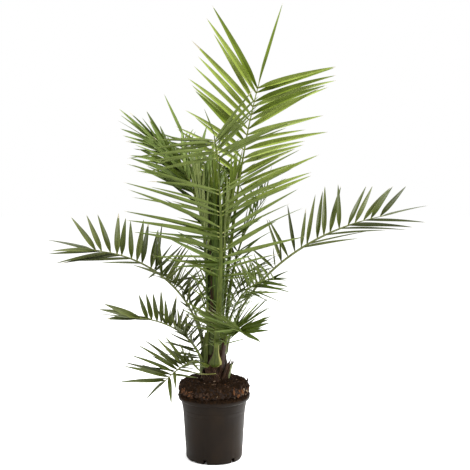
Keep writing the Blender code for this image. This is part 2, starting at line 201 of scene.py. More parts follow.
def stretched(mat, sizes, source="Object"):
    """Coordinates scaled so that one unit is the given size in metres along each axis."""
    place = add_node(mat, "ShaderNodeTexCoord")
    return add_node(mat, "ShaderNodeMapping", {"Scale": [1 / s for s in sizes]},
                    {"Vector": (place, source)})


def mottle(mat, sizes, detail=3.0, rough=0.6, source="Object"):
    """Soft noise whose marks have the given sizes."""
    where = stretched(mat, sizes, source)
    return add_node(mat, "ShaderNodeTexNoise", {"Scale": 1.0, "Detail": detail, "Roughness": rough},
                    {"Vector": (where, "Vector")})


TONE_A, TONE_B, TONE_OUT = 6, 7, 2


def two_tones(mat, pattern, dark, light, low=0.35, high=0.65):
    """Paints the base colour between two tones by a pattern's value."""
    share = add_node(mat, "ShaderNodeMapRange", {"From Min": low, "From Max": high},
                     {"Value": (pattern, 0)})
    tones = add_node(mat, "ShaderNodeMix", {TONE_A: colour(dark), TONE_B: colour(light)},
                     {0: (share, "Result")}, data_type="RGBA")
    plug(mat, "Base Color", tones, TONE_OUT)


def bump(mat, pattern, strength, depth):
    """Raises the pattern by the given depth in metres."""
    node = add_node(mat, "ShaderNodeBump", {"Strength": strength, "Distance": depth},
                    {"Height": (pattern, 0)})
    plug(mat, "Normal", node, "Normal")


def vary_roughness(mat, pattern, low, high):
    span = {"From Min": 0.3, "From Max": 0.7, "To Min": low, "To Max": high}
    node = add_node(mat, "ShaderNodeMapRange", span, {"Value": (pattern, 0)})
    plug(mat, "Roughness", node, "Result")


# %% [markdown]
# The floor is matt white paper. It only has to carry the pot's soft shadow, and it
# rides on no body, so that it isn't part of the plant.

# %% Floor
paper = new_material("white_paper", "fbfbfa", 0.95)
floor_mesh = bpy.data.meshes.new("floor")
half = FLOOR_SIZE / 2
floor_corners = [(x * half, y * half, 0) for x, y in ((-1, -1), (1, -1), (1, 1), (-1, 1))]
floor_mesh.from_pydata(floor_corners, [], [(0, 1, 2, 3)])
floor_mesh.materials.append(paper)
floor = bpy.data.objects.new("floor", floor_mesh)
bpy.context.collection.objects.link(floor)


# %% [markdown]
# A palm has thousands of small faces. A heap collects the corners and faces of many
# small closed shapes, with the number of the finish that each face takes and its
# place across and along the blade, and turns them into one mesh at the end.

# %% Heap of small shapes
class Heap:
    """Corners, faces, finishes and places of many closed shapes, to make one piece."""

    def __init__(self):
        self.verts, self.faces, self.marks, self.uvs = [], [], [], []

    def add(self, verts, faces, marks=0, uvs=None):
        first = len(self.verts)
        self.verts += [tuple(v) for v in verts]
        self.faces += [tuple(first + i for i in face) for face in faces]
        self.marks += marks if isinstance(marks, list) else [marks] * len(faces)
        self.uvs += uvs or [(0.5, 0.5)] * len(verts)

    def piece(self, name, materials, replaces=(), smooth=40):
        """Makes the mesh, rides it on the plant and hides the solids that it stands for."""
        mesh = bpy.data.meshes.new(name)
        mesh.from_pydata(self.verts, [], self.faces)
        layer = mesh.uv_layers.new(name="place")
        corners = [self.uvs[loop.vertex_index] for loop in mesh.loops]
        layer.data.foreach_set("uv", [value for uv in corners for value in uv])
        for mat in materials:
            mesh.materials.append(mat)
        mesh.polygons.foreach_set("material_index", self.marks)
        solid = bmesh.new()
        solid.from_mesh(mesh)
        bmesh.ops.recalc_face_normals(solid, faces=solid.faces)
        solid.to_mesh(mesh)
        solid.free()
        if smooth:
            mesh.shade_smooth()
            mesh.set_sharp_from_angle(angle=radians(smooth))
        ob = bpy.data.objects.new(name, mesh)
        bpy.context.collection.objects.link(ob)
        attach(ob, "root")
        if replaces:
            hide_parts(*replaces)
        print(name, "faces:", len(mesh.polygons))
        return ob


# %% Tubes and turned shapes
def ring_faces(rings, sides):
    """Faces between rings of corners, one after another, then the two ends."""
    faces = []
    for k in range(rings - 1):
        for i in range(sides):
            j = (i + 1) % sides
            faces.append((k * sides + i, k * sides + j, (k + 1) * sides + j, (k + 1) * sides + i))
    return faces + [tuple(range(sides)), tuple(range((rings - 1) * sides, rings * sides))]


def tube(points, radii, sides):
    """Closed round tube along points."""
    verts, uvs = [], []
    count = len(points)
    for k, point in enumerate(points):
        along = (points[min(k + 1, count - 1)] - points[max(k - 1, 0)]).normalized()
        side = (side - along * side.dot(along) if k else along.orthogonal()).normalized()
        up = along.cross(side)
        for i in range(sides):
            a = 2 * pi * i / sides
            verts.append(point + side * (cos(a) * radii[k]) + up * (sin(a) * radii[k]))
            uvs.append((i / sides, k / (count - 1)))
    return verts, ring_faces(count, sides), uvs


def turned(profile, sides, shift=None):
    """Closed solid turned about Z. The profile starts and ends on the axis."""
    verts, faces, rings = [], [], []
    for r, z in profile:
        ring = 1 if r == 0 else sides
        rings.append(list(range(len(verts), len(verts) + ring)))
        for i in range(ring):
            a = 2 * pi * i / sides
            out, up = shift(a, r, z) if shift and r else (r, z)
            verts.append(polar(out, a, up))
    for low, high in zip(rings, rings[1:]):
        for i in range(sides):
            j = (i + 1) % sides
            corners = [low[i % len(low)], low[j % len(low)], high[j % len(high)], high[i % len(high)]]
            faces.append(tuple(dict.fromkeys(corners)))
    return verts, faces


# %% [markdown]
# The pot is injection moulded from recycled polypropylene. Its wall is thin and
# tapers, its lip is rolled outward for stiffness, and a shoulder band lets pots
# stack without jamming. A turned profile with rounded corners gives all that, and
# boxes cut the drainage notches. Moulded recycled plastic looks satin, brown-black
# and a little uneven, with dust where wet soil has dried.

# %% Polypropylene
POT_BLACK, POT_DUST = "100a06", "1b130b"
ORANGE_PEEL = 0.0025


def moulded_polypropylene():
    # IOR 1.49; the orange peel of the mould is 1 mm, drawn at 2.5 mm so that it shows
    gloss = {"IOR": 1.49, "Specular IOR Level": 0.09, "Specular Tint": (1.0, 0.94, 0.86, 1)}
    mat = new_material("moulded_polypropylene", POT_BLACK, 0.50, gloss)
    dust = mottle(mat, (0.05, 0.05, 0.09), detail=5.0)
    two_tones(mat, dust, POT_BLACK, POT_DUST, 0.45, 0.80)
    vary_roughness(mat, dust, 0.48, 0.64)
    bump(mat, mottle(mat, (ORANGE_PEEL,) * 3, detail=2.0), 0.25, 0.0003)
    return mat


# %% Pot
POT_SIDES = 144
POT_OUTSIDE = (
    (0.0735, 0.0050), (0.0745, 0.0000), (0.0792, 0.0000), (0.0822, 0.0013), (0.0843, 0.0050),
    (0.0852, 0.0140), (0.0926, 0.1395), (0.0929, 0.1403), (0.0925, 0.1411), (0.0930, 0.1420),
    (0.0938, 0.1520), (0.0942, 0.1528), (0.0939, 0.1538), (0.0950, 0.1570), (0.0972, 0.1700),
    (0.0990, 0.1790), (0.1030, 0.1812), (0.1056, 0.1832), (0.1072, 0.1866), (0.1077, 0.1910),
    (0.1071, 0.1955), (0.1056, 0.1985), (0.1036, 0.1998), (0.1018, 0.1994), (0.1005, 0.1980),
)
POT_INSIDE = (
    (0.0992, 0.1950), (0.0955, 0.1740), (0.0935, 0.1705), (0.0918, 0.1500),
    (0.0833, 0.0160), (0.0815, 0.0090), (0.0790, 0.0080),
)
NOTCH_COUNT, NOTCH_FIRST = 6, -107.5
NOTCH_RADIUS, NOTCH_BOTTOM = 0.0820, -0.005
NOTCH_SIZE, DENT_SIZE = (0.022, 0.0110, 0.0200), (0.012, 0.016, 0.0105)
NOTCHES = [(NOTCH_FIRST + 360 * k / NOTCH_COUNT, NOTCH_SIZE) for k in range(NOTCH_COUNT)]
NOTCHES += [(-137, DENT_SIZE), (42, DENT_SIZE)]
EDGE_ROUND = 0.0005

pot_heap = Heap()
pot_profile = [(0, POT_OUTSIDE[0][1]), *POT_OUTSIDE, *POT_INSIDE, (0, POT_INSIDE[-1][1])]
pot_heap.add(*turned(pot_profile, POT_SIDES))
pot = pot_heap.piece("nursery_pot", [moulded_polypropylene()], ["pot"], smooth=None)

for bearing, size in NOTCHES:
    a = radians(bearing)
    bpy.ops.mesh.primitive_cube_add(size=1, calc_uvs=False)
    cutter = bpy.context.object
    cutter.dimensions = size
    cutter.location = polar(NOTCH_RADIUS, a, NOTCH_BOTTOM + size[2] / 2)
    cutter.rotation_euler = (0, 0, a)
    cut = pot.modifiers.new("notch", "BOOLEAN")
    cut.operation = "DIFFERENCE"
    cut.object = cutter
    bpy.context.view_layer.objects.active = pot
    bpy.ops.object.modifier_apply(modifier=cut.name)
    bpy.data.objects.remove(cutter, do_unlink=True)

rounding = pot.modifiers.new("rounding", "BEVEL")
rounding.width = EDGE_ROUND
rounding.segments = 2
rounding.limit_method = "ANGLE"
rounding.angle_limit = radians(50)
bpy.ops.object.modifier_apply(modifier=rounding.name)
pot.data.shade_smooth()
pot.data.set_sharp_from_angle(angle=radians(38))
# the cuts leave stray places on their faces, which no finish reads: all are made alike
places = pot.data.uv_layers["place"].data
places.foreach_set("uv", [0.5] * (2 * len(places)))


# %% [markdown]
# The root ball stands proud of the rim. It is bark and peat: near black where it is
# damp, with red-brown bark chips at its edge and a few pale splinters. The mound is
# one turned mesh pushed in and out by noise. Chips, crumbs and rootlets are small
# closed shapes dropped on it by a seeded rule and joined, each kind apart.

# %% Potting mix
def damp_potting_mix():
    # damp organic grains: dull, with a slight gloss where water films them
    mat = new_material("damp_potting_mix", "21140e", 0.85, {"IOR": 1.4, "Specular IOR Level": 0.05})
    grains = mottle(mat, (0.006,) * 3, detail=6.0, rough=0.7)
    two_tones(mat, grains, "0f0905", "332213", 0.42, 0.74)
    bump(mat, mottle(mat, (0.003,) * 3, detail=5.0), 0.8, 0.0015)
    return mat


def bark(name, dark, light):
    # conifer bark: dry, layered, rough
    mat = new_material(name, dark, 0.8, {"IOR": 1.45, "Specular IOR Level": 0.15})
    layers = mottle(mat, (0.010, 0.004, 0.002), detail=5.0)
    two_tones(mat, layers, dark, light)
    bump(mat, layers, 0.6, 0.0008)
    return mat


SOIL_MOUND = (
    (0.0988, 0.1960), (0.0985, 0.2030), (0.1035, 0.2075), (0.1050, 0.2170), (0.1010, 0.2290),
    (0.0910, 0.2370), (0.0760, 0.2400), (0.0600, 0.2405), (0.0470, 0.2400), (0.0300, 0.2400),
)
SOIL_SIDES = 180
SOIL_STEP = 0.0022
SOIL_SEED = 21
# clods, lumps and grains: size, height, and a shift that keeps their patterns apart
CLODS = ((0.024, 0.0056, 5), (0.008, 0.0030, 0), (0.003, 0.0010, 0))
# under the first height nothing is pushed; over the second the side turns to the top
SMOOTH_BELOW, SHOULDER, SHOULDER_HIGH, DRAWN_IN = 0.199, 0.215, 0.02, 0.0006
# a hump before the cut stub
HUMP, HUMP_WIDE, HUMP_HIGH = (0.043, -0.036), 0.017, 0.010


def soil_profile():
    """The mound's outline with points a couple of millimetres apart."""
    out = []
    for (r0, z0), (r1, z1) in zip(SOIL_MOUND, SOIL_MOUND[1:]):
        steps = max(1, round(hypot(r1 - r0, z1 - z0) / SOIL_STEP))
        out += [(mix((r0, r1), i / steps), mix((z0, z1), i / steps)) for i in range(steps)]
    return out + [SOIL_MOUND[-1]]


def clods(a, r, z):
    """Pushes a point of the mound: sideways at its side, up or down on its top."""
    if z < SMOOTH_BELOW:
        return r, z
    x, y = r * cos(a), r * sin(a)
    push = 0
    for size, height, shift in CLODS:
        push += height * ripple(x / size, y / size, z / size + shift)
    rise = ease((z - SHOULDER) / SHOULDER_HIGH)
    push += HUMP_HIGH * exp(-((x - HUMP[0]) ** 2 + (y - HUMP[1]) ** 2) / HUMP_WIDE ** 2) * rise
    return r + (push - DRAWN_IN) * (1 - rise), z + push * rise


mound = soil_profile()
soil_heap = Heap()
soil_under = [(0, 0.1900), (0.0960, 0.1900)]
soil_heap.add(*turned(soil_under + mound + [(0, SOIL_MOUND[-1][1])], SOIL_SIDES, clods))
damp_mix = damp_potting_mix()
soil_heap.piece("root_ball", [damp_mix], ["soil"])


# %% Bark chips
CHIPS = 620
# chips lie thicker at the rim: share there, and the weights of the four tints
AT_EDGE, EDGE_TINTS, TOP_TINTS = 0.6, (76, 2, 22, 1), (76, 1, 22, 1)
CHIP_THICK = (0.0014, 0.0028)
CHIP_TINTS = (("dark_bark", "120c08", "241811"), ("red_bark", "3f2411", "5f3d22"),
              ("brown_bark", "22160e", "3a291c"), ("pale_splinter", "6b5844", "8f7c66"))
# more where the photo shows them: bearing and half width in degrees, count, tint weights
CHIP_PATCHES = ((-141, 13, 46, (3, 5, 8, 0.4)), (-104, 9, 13, (3, 2, 4, 2)),
                (-45, 12, 26, (3, 4, 5, 0.5)), (-20, 12, 30, (2, 2, 7, 2)), (70, 40, 40, (2, 3, 4, 1)))


def on_mound(rng, low=0.0, high=1.0):
    """A random spot on the mound with its outward direction."""
    a = rng.uniform(0, 2 * pi)
    i = int(mix((low, high), rng.random()) * (len(mound) - 8)) + 3
    (r0, z0), (r1, z1) = mound[i - 1], mound[i + 1]
    r, z = clods(a, *mound[i])
    return polar(r, a, z), polar(z1 - z0, a, r0 - r1).normalized()


def slab(rng, long, wide, thick):
    """Irregular six-cornered slab, as bark splits."""
    verts = []
    for level in (-0.5, 0.5):
        for i in range(6):
            a = pi * i / 3
            reach = rng.uniform(0.75, 1.05)
            verts.append(Vector((cos(a) * long / 2 * reach, sin(a) * wide / 2 * reach,
                                 level * thick * rng.uniform(0.7, 1.1))))
    faces = [(5, 4, 3, 2, 1, 0), (6, 7, 8, 9, 10, 11)]
    faces += [(i, (i + 1) % 6, 6 + (i + 1) % 6, 6 + i) for i in range(6)]
    return verts, faces


def settle(verts, spot, out, rng, tilt):
    """Turns a shape made flat on Z to lie on the mound there, a little askew."""
    lean = Vector([rng.uniform(-tilt, tilt) for _ in range(3)])
    up = (out + lean).normalized()
    along = up.orthogonal().normalized()
    spin = rng.uniform(0, 2 * pi)
    along = along * cos(spin) + up.cross(along) * sin(spin)
    across = up.cross(along)
    return [spot + along * v.x + across * v.y + up * v.z for v in verts]


rng = random.Random(SOIL_SEED)
chip_heap = Heap()
for _ in range(CHIPS):
    at_edge = rng.random() < AT_EDGE
    spot, out = on_mound(rng, 0.02, 0.35) if at_edge else on_mound(rng, 0.3, 1.0)
    long = rng.uniform(0.005, 0.014) if at_edge else rng.uniform(0.004, 0.010)
    verts, faces = slab(rng, long, long * rng.uniform(0.35, 0.7), rng.uniform(*CHIP_THICK))
    tint = rng.choices(range(4), EDGE_TINTS if at_edge else TOP_TINTS)[0]
    chip_heap.add(settle(verts, spot, out, rng, 0.6), faces, tint)
for bearing, spread, count, weights in CHIP_PATCHES:
    for _ in range(count):
        a = radians(bearing + rng.uniform(-spread, spread))
        i = rng.randrange(4, 13)
        r, z = clods(a, *mound[i])
        long = rng.uniform(0.009, 0.024)
        verts, faces = slab(rng, long, long * rng.uniform(0.18, 0.5), rng.uniform(*CHIP_THICK))
        lie = settle(verts, polar(r, a, z), polar(1, a, 0.2), rng, 0.5)
        chip_heap.add(lie, faces, rng.choices(range(4), weights)[0])
# one splinter of bark stands upright at the right edge
verts, faces = slab(rng, 0.005, 0.0030, 0.016)
chip_heap.add([Vector((0.1000 + v.x + v.z * 0.2, -0.004 + v.y, 0.2360 + v.z)) for v in verts], faces, 0)
chip_heap.piece("bark_chips", [bark(*tint) for tint in CHIP_TINTS], smooth=None)


# %% Peat crumbs
CRUMBS, SPILLED = 2600, 2100
# most that spilled on the rim lie at its front, by bearing in degrees
IN_FRONT, FRONT = 0.7, (-158, -22)
RIM_TOP = (0.1025, 0.1076)
RIM_CROWN = ((0.1025, 0.2000), (0.1040, 0.1997), (0.1056, 0.1984), (0.1068, 0.1962), (0.1076, 0.1925))


def lump(rng, radius):
    """Irregular eight-cornered crumb."""
    verts = []
    for x in (-1, 1):
        for y in (-1, 1):
            for z in (-1, 1):
                verts.append(Vector((x, y, z)).normalized() * radius * rng.uniform(0.65, 1.15))
    faces = [(0, 1, 3, 2), (4, 6, 7, 5), (0, 4, 5, 1), (2, 3, 7, 6), (0, 2, 6, 4), (1, 5, 7, 3)]
    return verts, faces


crumb_heap = Heap()
for _ in range(CRUMBS):
    spot, out = on_mound(rng)
    verts, faces = lump(rng, rng.uniform(0.0010, 0.0028))
    crumb_heap.add(settle(verts, spot - out * 0.0004, out, rng, 1.0), faces)
for _ in range(SPILLED):
    in_front = rng.random() < IN_FRONT
    a = radians(rng.uniform(*FRONT) if in_front else rng.uniform(0, 360))
    r = mix(RIM_TOP, rng.random() ** (0.8 if in_front else 2.0))
    verts, faces = lump(rng, rng.uniform(0.0012, 0.0026))
    spot = polar(r, a, lookup(RIM_CROWN, r))
    crumb_heap.add(settle(verts, spot, Vector((0, 0, 1)), rng, 1.0), faces)
crumb_heap.piece("peat_crumbs", [damp_mix], smooth=70)


# %% Rootlets
ROOTLETS, ROOTLET_LONG, ROOTLET_RADIUS = 60, (0.010, 0.032), (0.0003, 0.0006)


def strand(rng, start, heading_way, length, radius, sag=0.0, wander=0.25, steps=6):
    """A fine closed thread that wanders off from its start."""
    points, way = [start], heading_way.normalized()
    for _ in range(steps):
        stray = Vector([rng.uniform(-wander, wander) for _ in range(3)])
        way = (way + stray - Vector((0, 0, sag))).normalized()
        points.append(points[-1] + way * length / steps)
    sizes = [radius * (1 - 0.75 * k / steps) for k in range(steps + 1)]
    return tube(points, sizes, 3)


rootlet_heap = Heap()
for _ in range(ROOTLETS):
    spot, out = on_mound(rng)
    way = out.orthogonal().normalized() * rng.choice((-1, 1)) + out * 0.25
    long, radius = rng.uniform(*ROOTLET_LONG), rng.uniform(*ROOTLET_RADIUS)
    verts, faces, uvs = strand(rng, spot, way, long, radius, sag=0.12)
    rootlet_heap.add(verts, faces, rng.choices((0, 1), (5, 3))[0], uvs)
# dry roots: matt, pale where they are dead and brown where they are damp
pale_root = plant_matter("dry_rootlet", "8d7558", 0.75)
dark_root = plant_matter("dark_rootlet", "3a2519", 0.8)
rootlet_heap.piece("rootlets", [dark_root, pale_root], smooth=None)


# %% [markdown]
# The trunk of a young palm is hardly wood at all: it is a stack of old leaf bases
# wrapped in brown fibre, like coarse sacking. A turned mesh follows the solid, with
# folds, strands and threads pressed into it, all slanting a little. Loose threads
# stand off it, since that fringe is what the eye reads as fibre.

# %% Palm fibre
def palm_fibre():
    # matted dead fibre: matt and rust brown on the raised threads; the near-black tone in the low places of
    # the same pattern is painted shade in the folds
    mat = new_material("palm_fibre", "3a2318", 0.85, {"IOR": 1.45, "Specular IOR Level": 0.12})
    threads_and_fold_shade = mottle(mat, (0.0018, 0.0018, 0.022), detail=5.0, rough=0.65)
    two_tones(mat, threads_and_fold_shade, "100a07", "46301f", 0.38, 0.74)
    bump(mat, threads_and_fold_shade, 0.9, 0.0012)
    return mat


TRUNK_AXIS = 0.002
TRUNK = (
    (0.2403, 0.0410), (0.2460, 0.0385), (0.2520, 0.0366), (0.2750, 0.0356),
    (0.3000, 0.0345), (0.3200, 0.0320), (0.3400, 0.0290), (0.3600, 0.0252),
    (0.3800, 0.0210), (0.4000, 0.0170), (0.4200, 0.0130), (0.4500, 0.0060),
)
TRUNK_SIDES, TRUNK_RINGS = 260, 120
FIBRE_SLANT = 7.0
# folds, ridges and threads of the fibre: height, how many round, length, and a shift
FIBRE_RELIEF = ((0.0016, 2.4, 0.045, 0), (0.0010, 9, 0.030, 7), (0.0006, 24, 0.015, 0))


def trunk_skin(a, z):
    """Radius of the fibrous trunk at a bearing (radians) and height."""
    turn = a + z * FIBRE_SLANT
    x, y = cos(turn), sin(turn)
    r = lookup(TRUNK, z)
    for height, count, long, shift in FIBRE_RELIEF:
        r += height * ripple(count * x, count * y, z / long + shift)
    return r


def on_trunk(a, z, off=0.0):
    return polar(trunk_skin(a, z) + off, a, z, TRUNK_AXIS)


TRUNK_FOOT = SOIL_MOUND[-1][1] - 0.004
trunk_heap = Heap()
rings = [mix((TRUNK_FOOT, TRUNK[-1][0]), i / TRUNK_RINGS) for i in range(TRUNK_RINGS + 1)]
verts = [on_trunk(2 * pi * i / TRUNK_SIDES, z) for z in rings for i in range(TRUNK_SIDES)]
trunk_heap.add(verts, ring_faces(len(rings), TRUNK_SIDES))
fibre = palm_fibre()
trunk_heap.piece("fibrous_trunk", [fibre], ["trunk"], smooth=60)

# %% Loose threads
THREADS, THREAD_LONG, THREAD_RADIUS = 620, (0.010, 0.034), (0.0002, 0.00045)

rng = random.Random(31)
thread_heap = Heap()
for _ in range(THREADS):
    a, z = rng.uniform(0, 2 * pi), mix((TRUNK_FOOT + 0.004, 0.40), rng.random() ** 1.5)
    round_it = Vector((-sin(a), cos(a), 0)) * rng.uniform(-0.9, 0.3)
    way = Vector((0, 0, 1)) * rng.choice((1, 1, -0.6)) + round_it + polar(1, a, 0) * rng.uniform(0.0, 0.25)
    long, radius = rng.uniform(*THREAD_LONG), rng.uniform(*THREAD_RADIUS)
    verts, faces, uvs = strand(rng, on_trunk(a, z, 0.0002), way, long, radius, wander=0.22)
    thread_heap.add(verts, faces, rng.choices((0, 1, 2), (5, 3, 1))[0], uvs)
# dead fibre: matt, from nearly black to bleached
thread_tints = [new_material("dark_thread", "1f140e", 0.8), new_material("rust_thread", "4f3324", 0.8),
                new_material("straw_thread", "7d6b4a", 0.75)]
thread_heap.piece("loose_threads", thread_tints, smooth=None)


# %% [markdown]
# Each frond follows the same rule as its solid: a rib grows from its foot on the
# trunk in short steps, turning and bending as it goes, and leaflets stand on it in
# pairs, by angles that run evenly from the first pair to the tip with a little
# seeded disorder. The numbers are those of the plain model, so that every finer
# leaflet lies where its solid is.

# %% Fronds
# foot: bearing and height on the trunk. azimuth, rise (foot, tip), bend,
# length and turn shape the rib. bare: share without leaflets. ramp: share of the
# row over which spines grow to full leaflets. pairs, leaf, first, tip_leaf, last
# and slim size the leaflets. left and right: angle from the rib and lift out of
# its plane, each at the first pair and at the tip. base: width at the foot.
FIELDS = ("foot azimuth rise bend length turn base bare ramp pairs "
          "leaf first tip_leaf last slim left right").split()
FRONDS = {
    "frond_tall": ((60, 0.360), 53, (79, 63), 2.8, 0.793, 3, 0.014, 0.32, 0.25, 24, 0.248, 0.4, 1.14, 1.05,
        0.074, ((83, 44), (26, 22)), ((57, 73), (5, 0))),
    "frond_front": ((-88, 0.275), -64, (85, 68), 0.5, 0.729, -44, 0.034, 0.30, 0.36, 24, 0.264, 0.16, 0.74,
        0.5, 0.056, ((86, 32), (-22, 3)), ((54, 89), (-25, 5))),
    "frond_left_high": ((158, 0.400), 165, (89, 25), 3.0, 0.600, 5, 0.010, 0.38, 0.25, 18, 0.240, 0.3, 0.7,
        0.7, 0.058, ((75, 38), (-35, -8)), ((62, 32), (15, 20))),
    "frond_back_left": ((118, 0.340), 124, (88, 56), 2.3, 0.635, 6, 0.014, 0.38, 0.25, 18, 0.190, 0.3, 0.72,
        1.05, 0.060, ((60, 40), (10, 10)), ((60, 35), (10, 10))),
    "frond_back": ((92, 0.385), 92, (88, 45), 2.0, 0.520, 0, 0.010, 0.38, 0.25, 16, 0.190, 0.3, 0.7, 0.9,
        0.064, ((60, 40), (10, 10)), ((60, 40), (10, 10))),
    "frond_back_right": ((28, 0.340), 40, (86, 35), 1.8, 0.480, 8, 0.014, 0.38, 0.25, 15, 0.180, 0.3, 0.7,
        0.9, 0.066, ((60, 40), (10, 10)), ((60, 35), (10, 10))),
    "frond_back_low_left": ((138, 0.292), 124, (82, 5), 1.1, 0.340, -4, 0.016, 0.34, 0.3, 13, 0.120, 0.3,
        0.8, 0.9, 0.085, ((65, 35), (15, 15)), ((65, 35), (15, 15))),
    "frond_back_low_right": ((66, 0.290), 66, (82, 5), 1.1, 0.380, -4, 0.016, 0.34, 0.3, 13, 0.130, 0.3,
        0.8, 0.9, 0.085, ((65, 35), (15, 15)), ((65, 35), (15, 15))),
    "frond_inner_left": ((205, 0.405), 200, (89, 80), 1.5, 0.450, 0, 0.009, 0.42, 0.3, 10, 0.190, 0.5, 0.7,
        0.9, 0.050, ((24, 16), (10, 10)), ((24, 16), (10, 10))),
    "frond_inner_right": ((-8, 0.405), 6, (89, 78), 1.5, 0.430, 0, 0.009, 0.42, 0.3, 10, 0.190, 0.5, 0.7,
        0.9, 0.050, ((28, 18), (10, 10)), ((28, 18), (10, 10))),
    "frond_left_arch": ((186, 0.325), 189, (89, 4), 0.89, 0.487, -4, 0.016, 0.30, 0.28, 17, 0.152, 0.35,
        0.92, 1.08, 0.100, ((30, 30), (20, -21)), ((88, 56), (53, 50))),
    "frond_right_arch": ((-4, 0.325), -3, (89, 11), 0.65, 0.652, 5, 0.016, 0.30, 0.3, 19, 0.160, 0.3, 1.0,
        1.05, 0.098, ((88, 38), (54, 50)), ((32, 22), (15, -24))),
    "frond_left_low": ((203, 0.285), 202, (89, 2), 0.65, 0.289, -8, 0.018, 0.24, 0.3, 15, 0.108, 0.65, 0.98,
        1.0, 0.115, ((45, 17), (5, -5)), ((86, 30), (75, 75))),
    "frond_left_foot": ((227, 0.262), 238, (60, -31), 0.66, 0.195, -12, 0.012, 0.34, 0.3, 11, 0.132, 0.5,
        1.08, 0.85, 0.100, ((80, 32), (-10, 18)), ((88, 58), (58, 58))),
    "frond_near_right": ((-52, 0.285), -60, (88, -30), 1.6, 0.205, 6, 0.014, 0.40, 0.2, 13, 0.150, 0.5,
        0.62, 0.6, 0.105, ((80, 34), (35, 36)), ((87, 74), (17, 31))),
    "frond_right_mid": ((-33, 0.325), -39, (87, 3), 1.3, 0.345, -8, 0.014, 0.42, 0.25, 13, 0.135, 0.4, 0.72,
        0.6, 0.090, ((56, 34), (30, 25)), ((58, 50), (45, 40))),
    "spear": ((100, 0.4503), 100, (89, 86), 1.5, 0.400, 0, 0.009, 0.60, 0.3, 0, 0.160, 0.7, 0.7, 1.0, 0.060,
        ((20, 12), (0, 0)), ((20, 12), (0, 0))),
}
FRONDS = {name: dict(zip(FIELDS, row)) for name, row in FRONDS.items()}

GAP = 0.0003
RIB_STEPS = 48
# the foot of a rib: its depth, and the lengths over which it slims and turns outward
FOOT_DEPTH, FOOT_FADE, FOOT_TURN = 0.0095, 0.055, 0.08
RIB_TIP = (0.0026, 0.0024)
# width of the stalk over its foot: at least, and how much more on a frond so long
STOUT, STOUTER, LONG_FROND = 0.0048, 0.0045, 0.8
# share along the rib where the last pair springs; how far roots and sizes stray
LAST_ROOT, ROOT_STRAY, SIZE_STRAY = 0.985, 0.2, 0.07
SPINE_SLIM = 0.6
LEAF_DROOP = 0.05
# degrees: how far leaflets stray, and how far pairs stand above or below in turn
WILD, PLANES = 4.0, 8.0
# what the plain model tried for a leaflet that would touch: turn, lift, share of its size
DODGES = (
    (0, 0, 1.0), (0, 6, 1.0), (0, -6, 1.0), (4, 10, 1.0), (-4, -10, 1.0), (5, -4, 1.0), (-5, 4, 1.0),
    (0, 16, 0.95), (0, -16, 0.95), (9, 5, 0.9), (-8, -5, 0.9), (0, 24, 0.85), (0, -24, 0.85),
    (6, 12, 0.7), (-6, -12, 0.7), (0, 0, 0.6), (0, 14, 0.5), (0, -14, 0.5), (0, 0, 0.35),
)


# %% What sets single fronds apart
# The rib. girth: share of the living stalk's extra width. least: its least width.
# start: metres from the solid's foot to the base. clasp: how far the base spreads.
# spade: the base is a broad pale-edged spade. margins: whether its edges are dead.
# dead_base: it is brown all over. raised: metres that the stalk lies above its solid
# at the foot, as the photo shows.
# The leaflets. age: looks younger than its slot. light: share of the way that faces
# roll to the light, left and right of the rib. lost: share that is missing. roots:
# how many draw together at their roots, and by what share of the space between pairs.
# tips: the first pair that springs from nearly one point, that point, and how near.
# width: share of the width, slim_foot the same towards the foot. tints: weights of
# the three greens, with the deepest alone past deep_from or on painted_shade_side, the
# side that faces away from the light, where the deepest green is painted shade. between:
# how many are added for each, the degrees that they stray, and, where given, how far
# along, their width, and the only side. end_aim, end_width, end_tint: the last leaflet's
# tip in millimetres right of the pot's axis and above the floor, width and green.
USUAL = dict(
    girth=0.3, least=0, start=0, clasp=1.8, spade=False, margins=True, dead_base=False, raised=0,
    age="", light=(0.55, 0.55), lost=0, roots=(1, 0), tips=(99, 0, 0), width=0.92, slim_foot=1,
    tints=(5, 4, 3), deep_from=1, painted_shade_side=0, between=(), end_aim=(), end_width=0.55, end_tint=2)
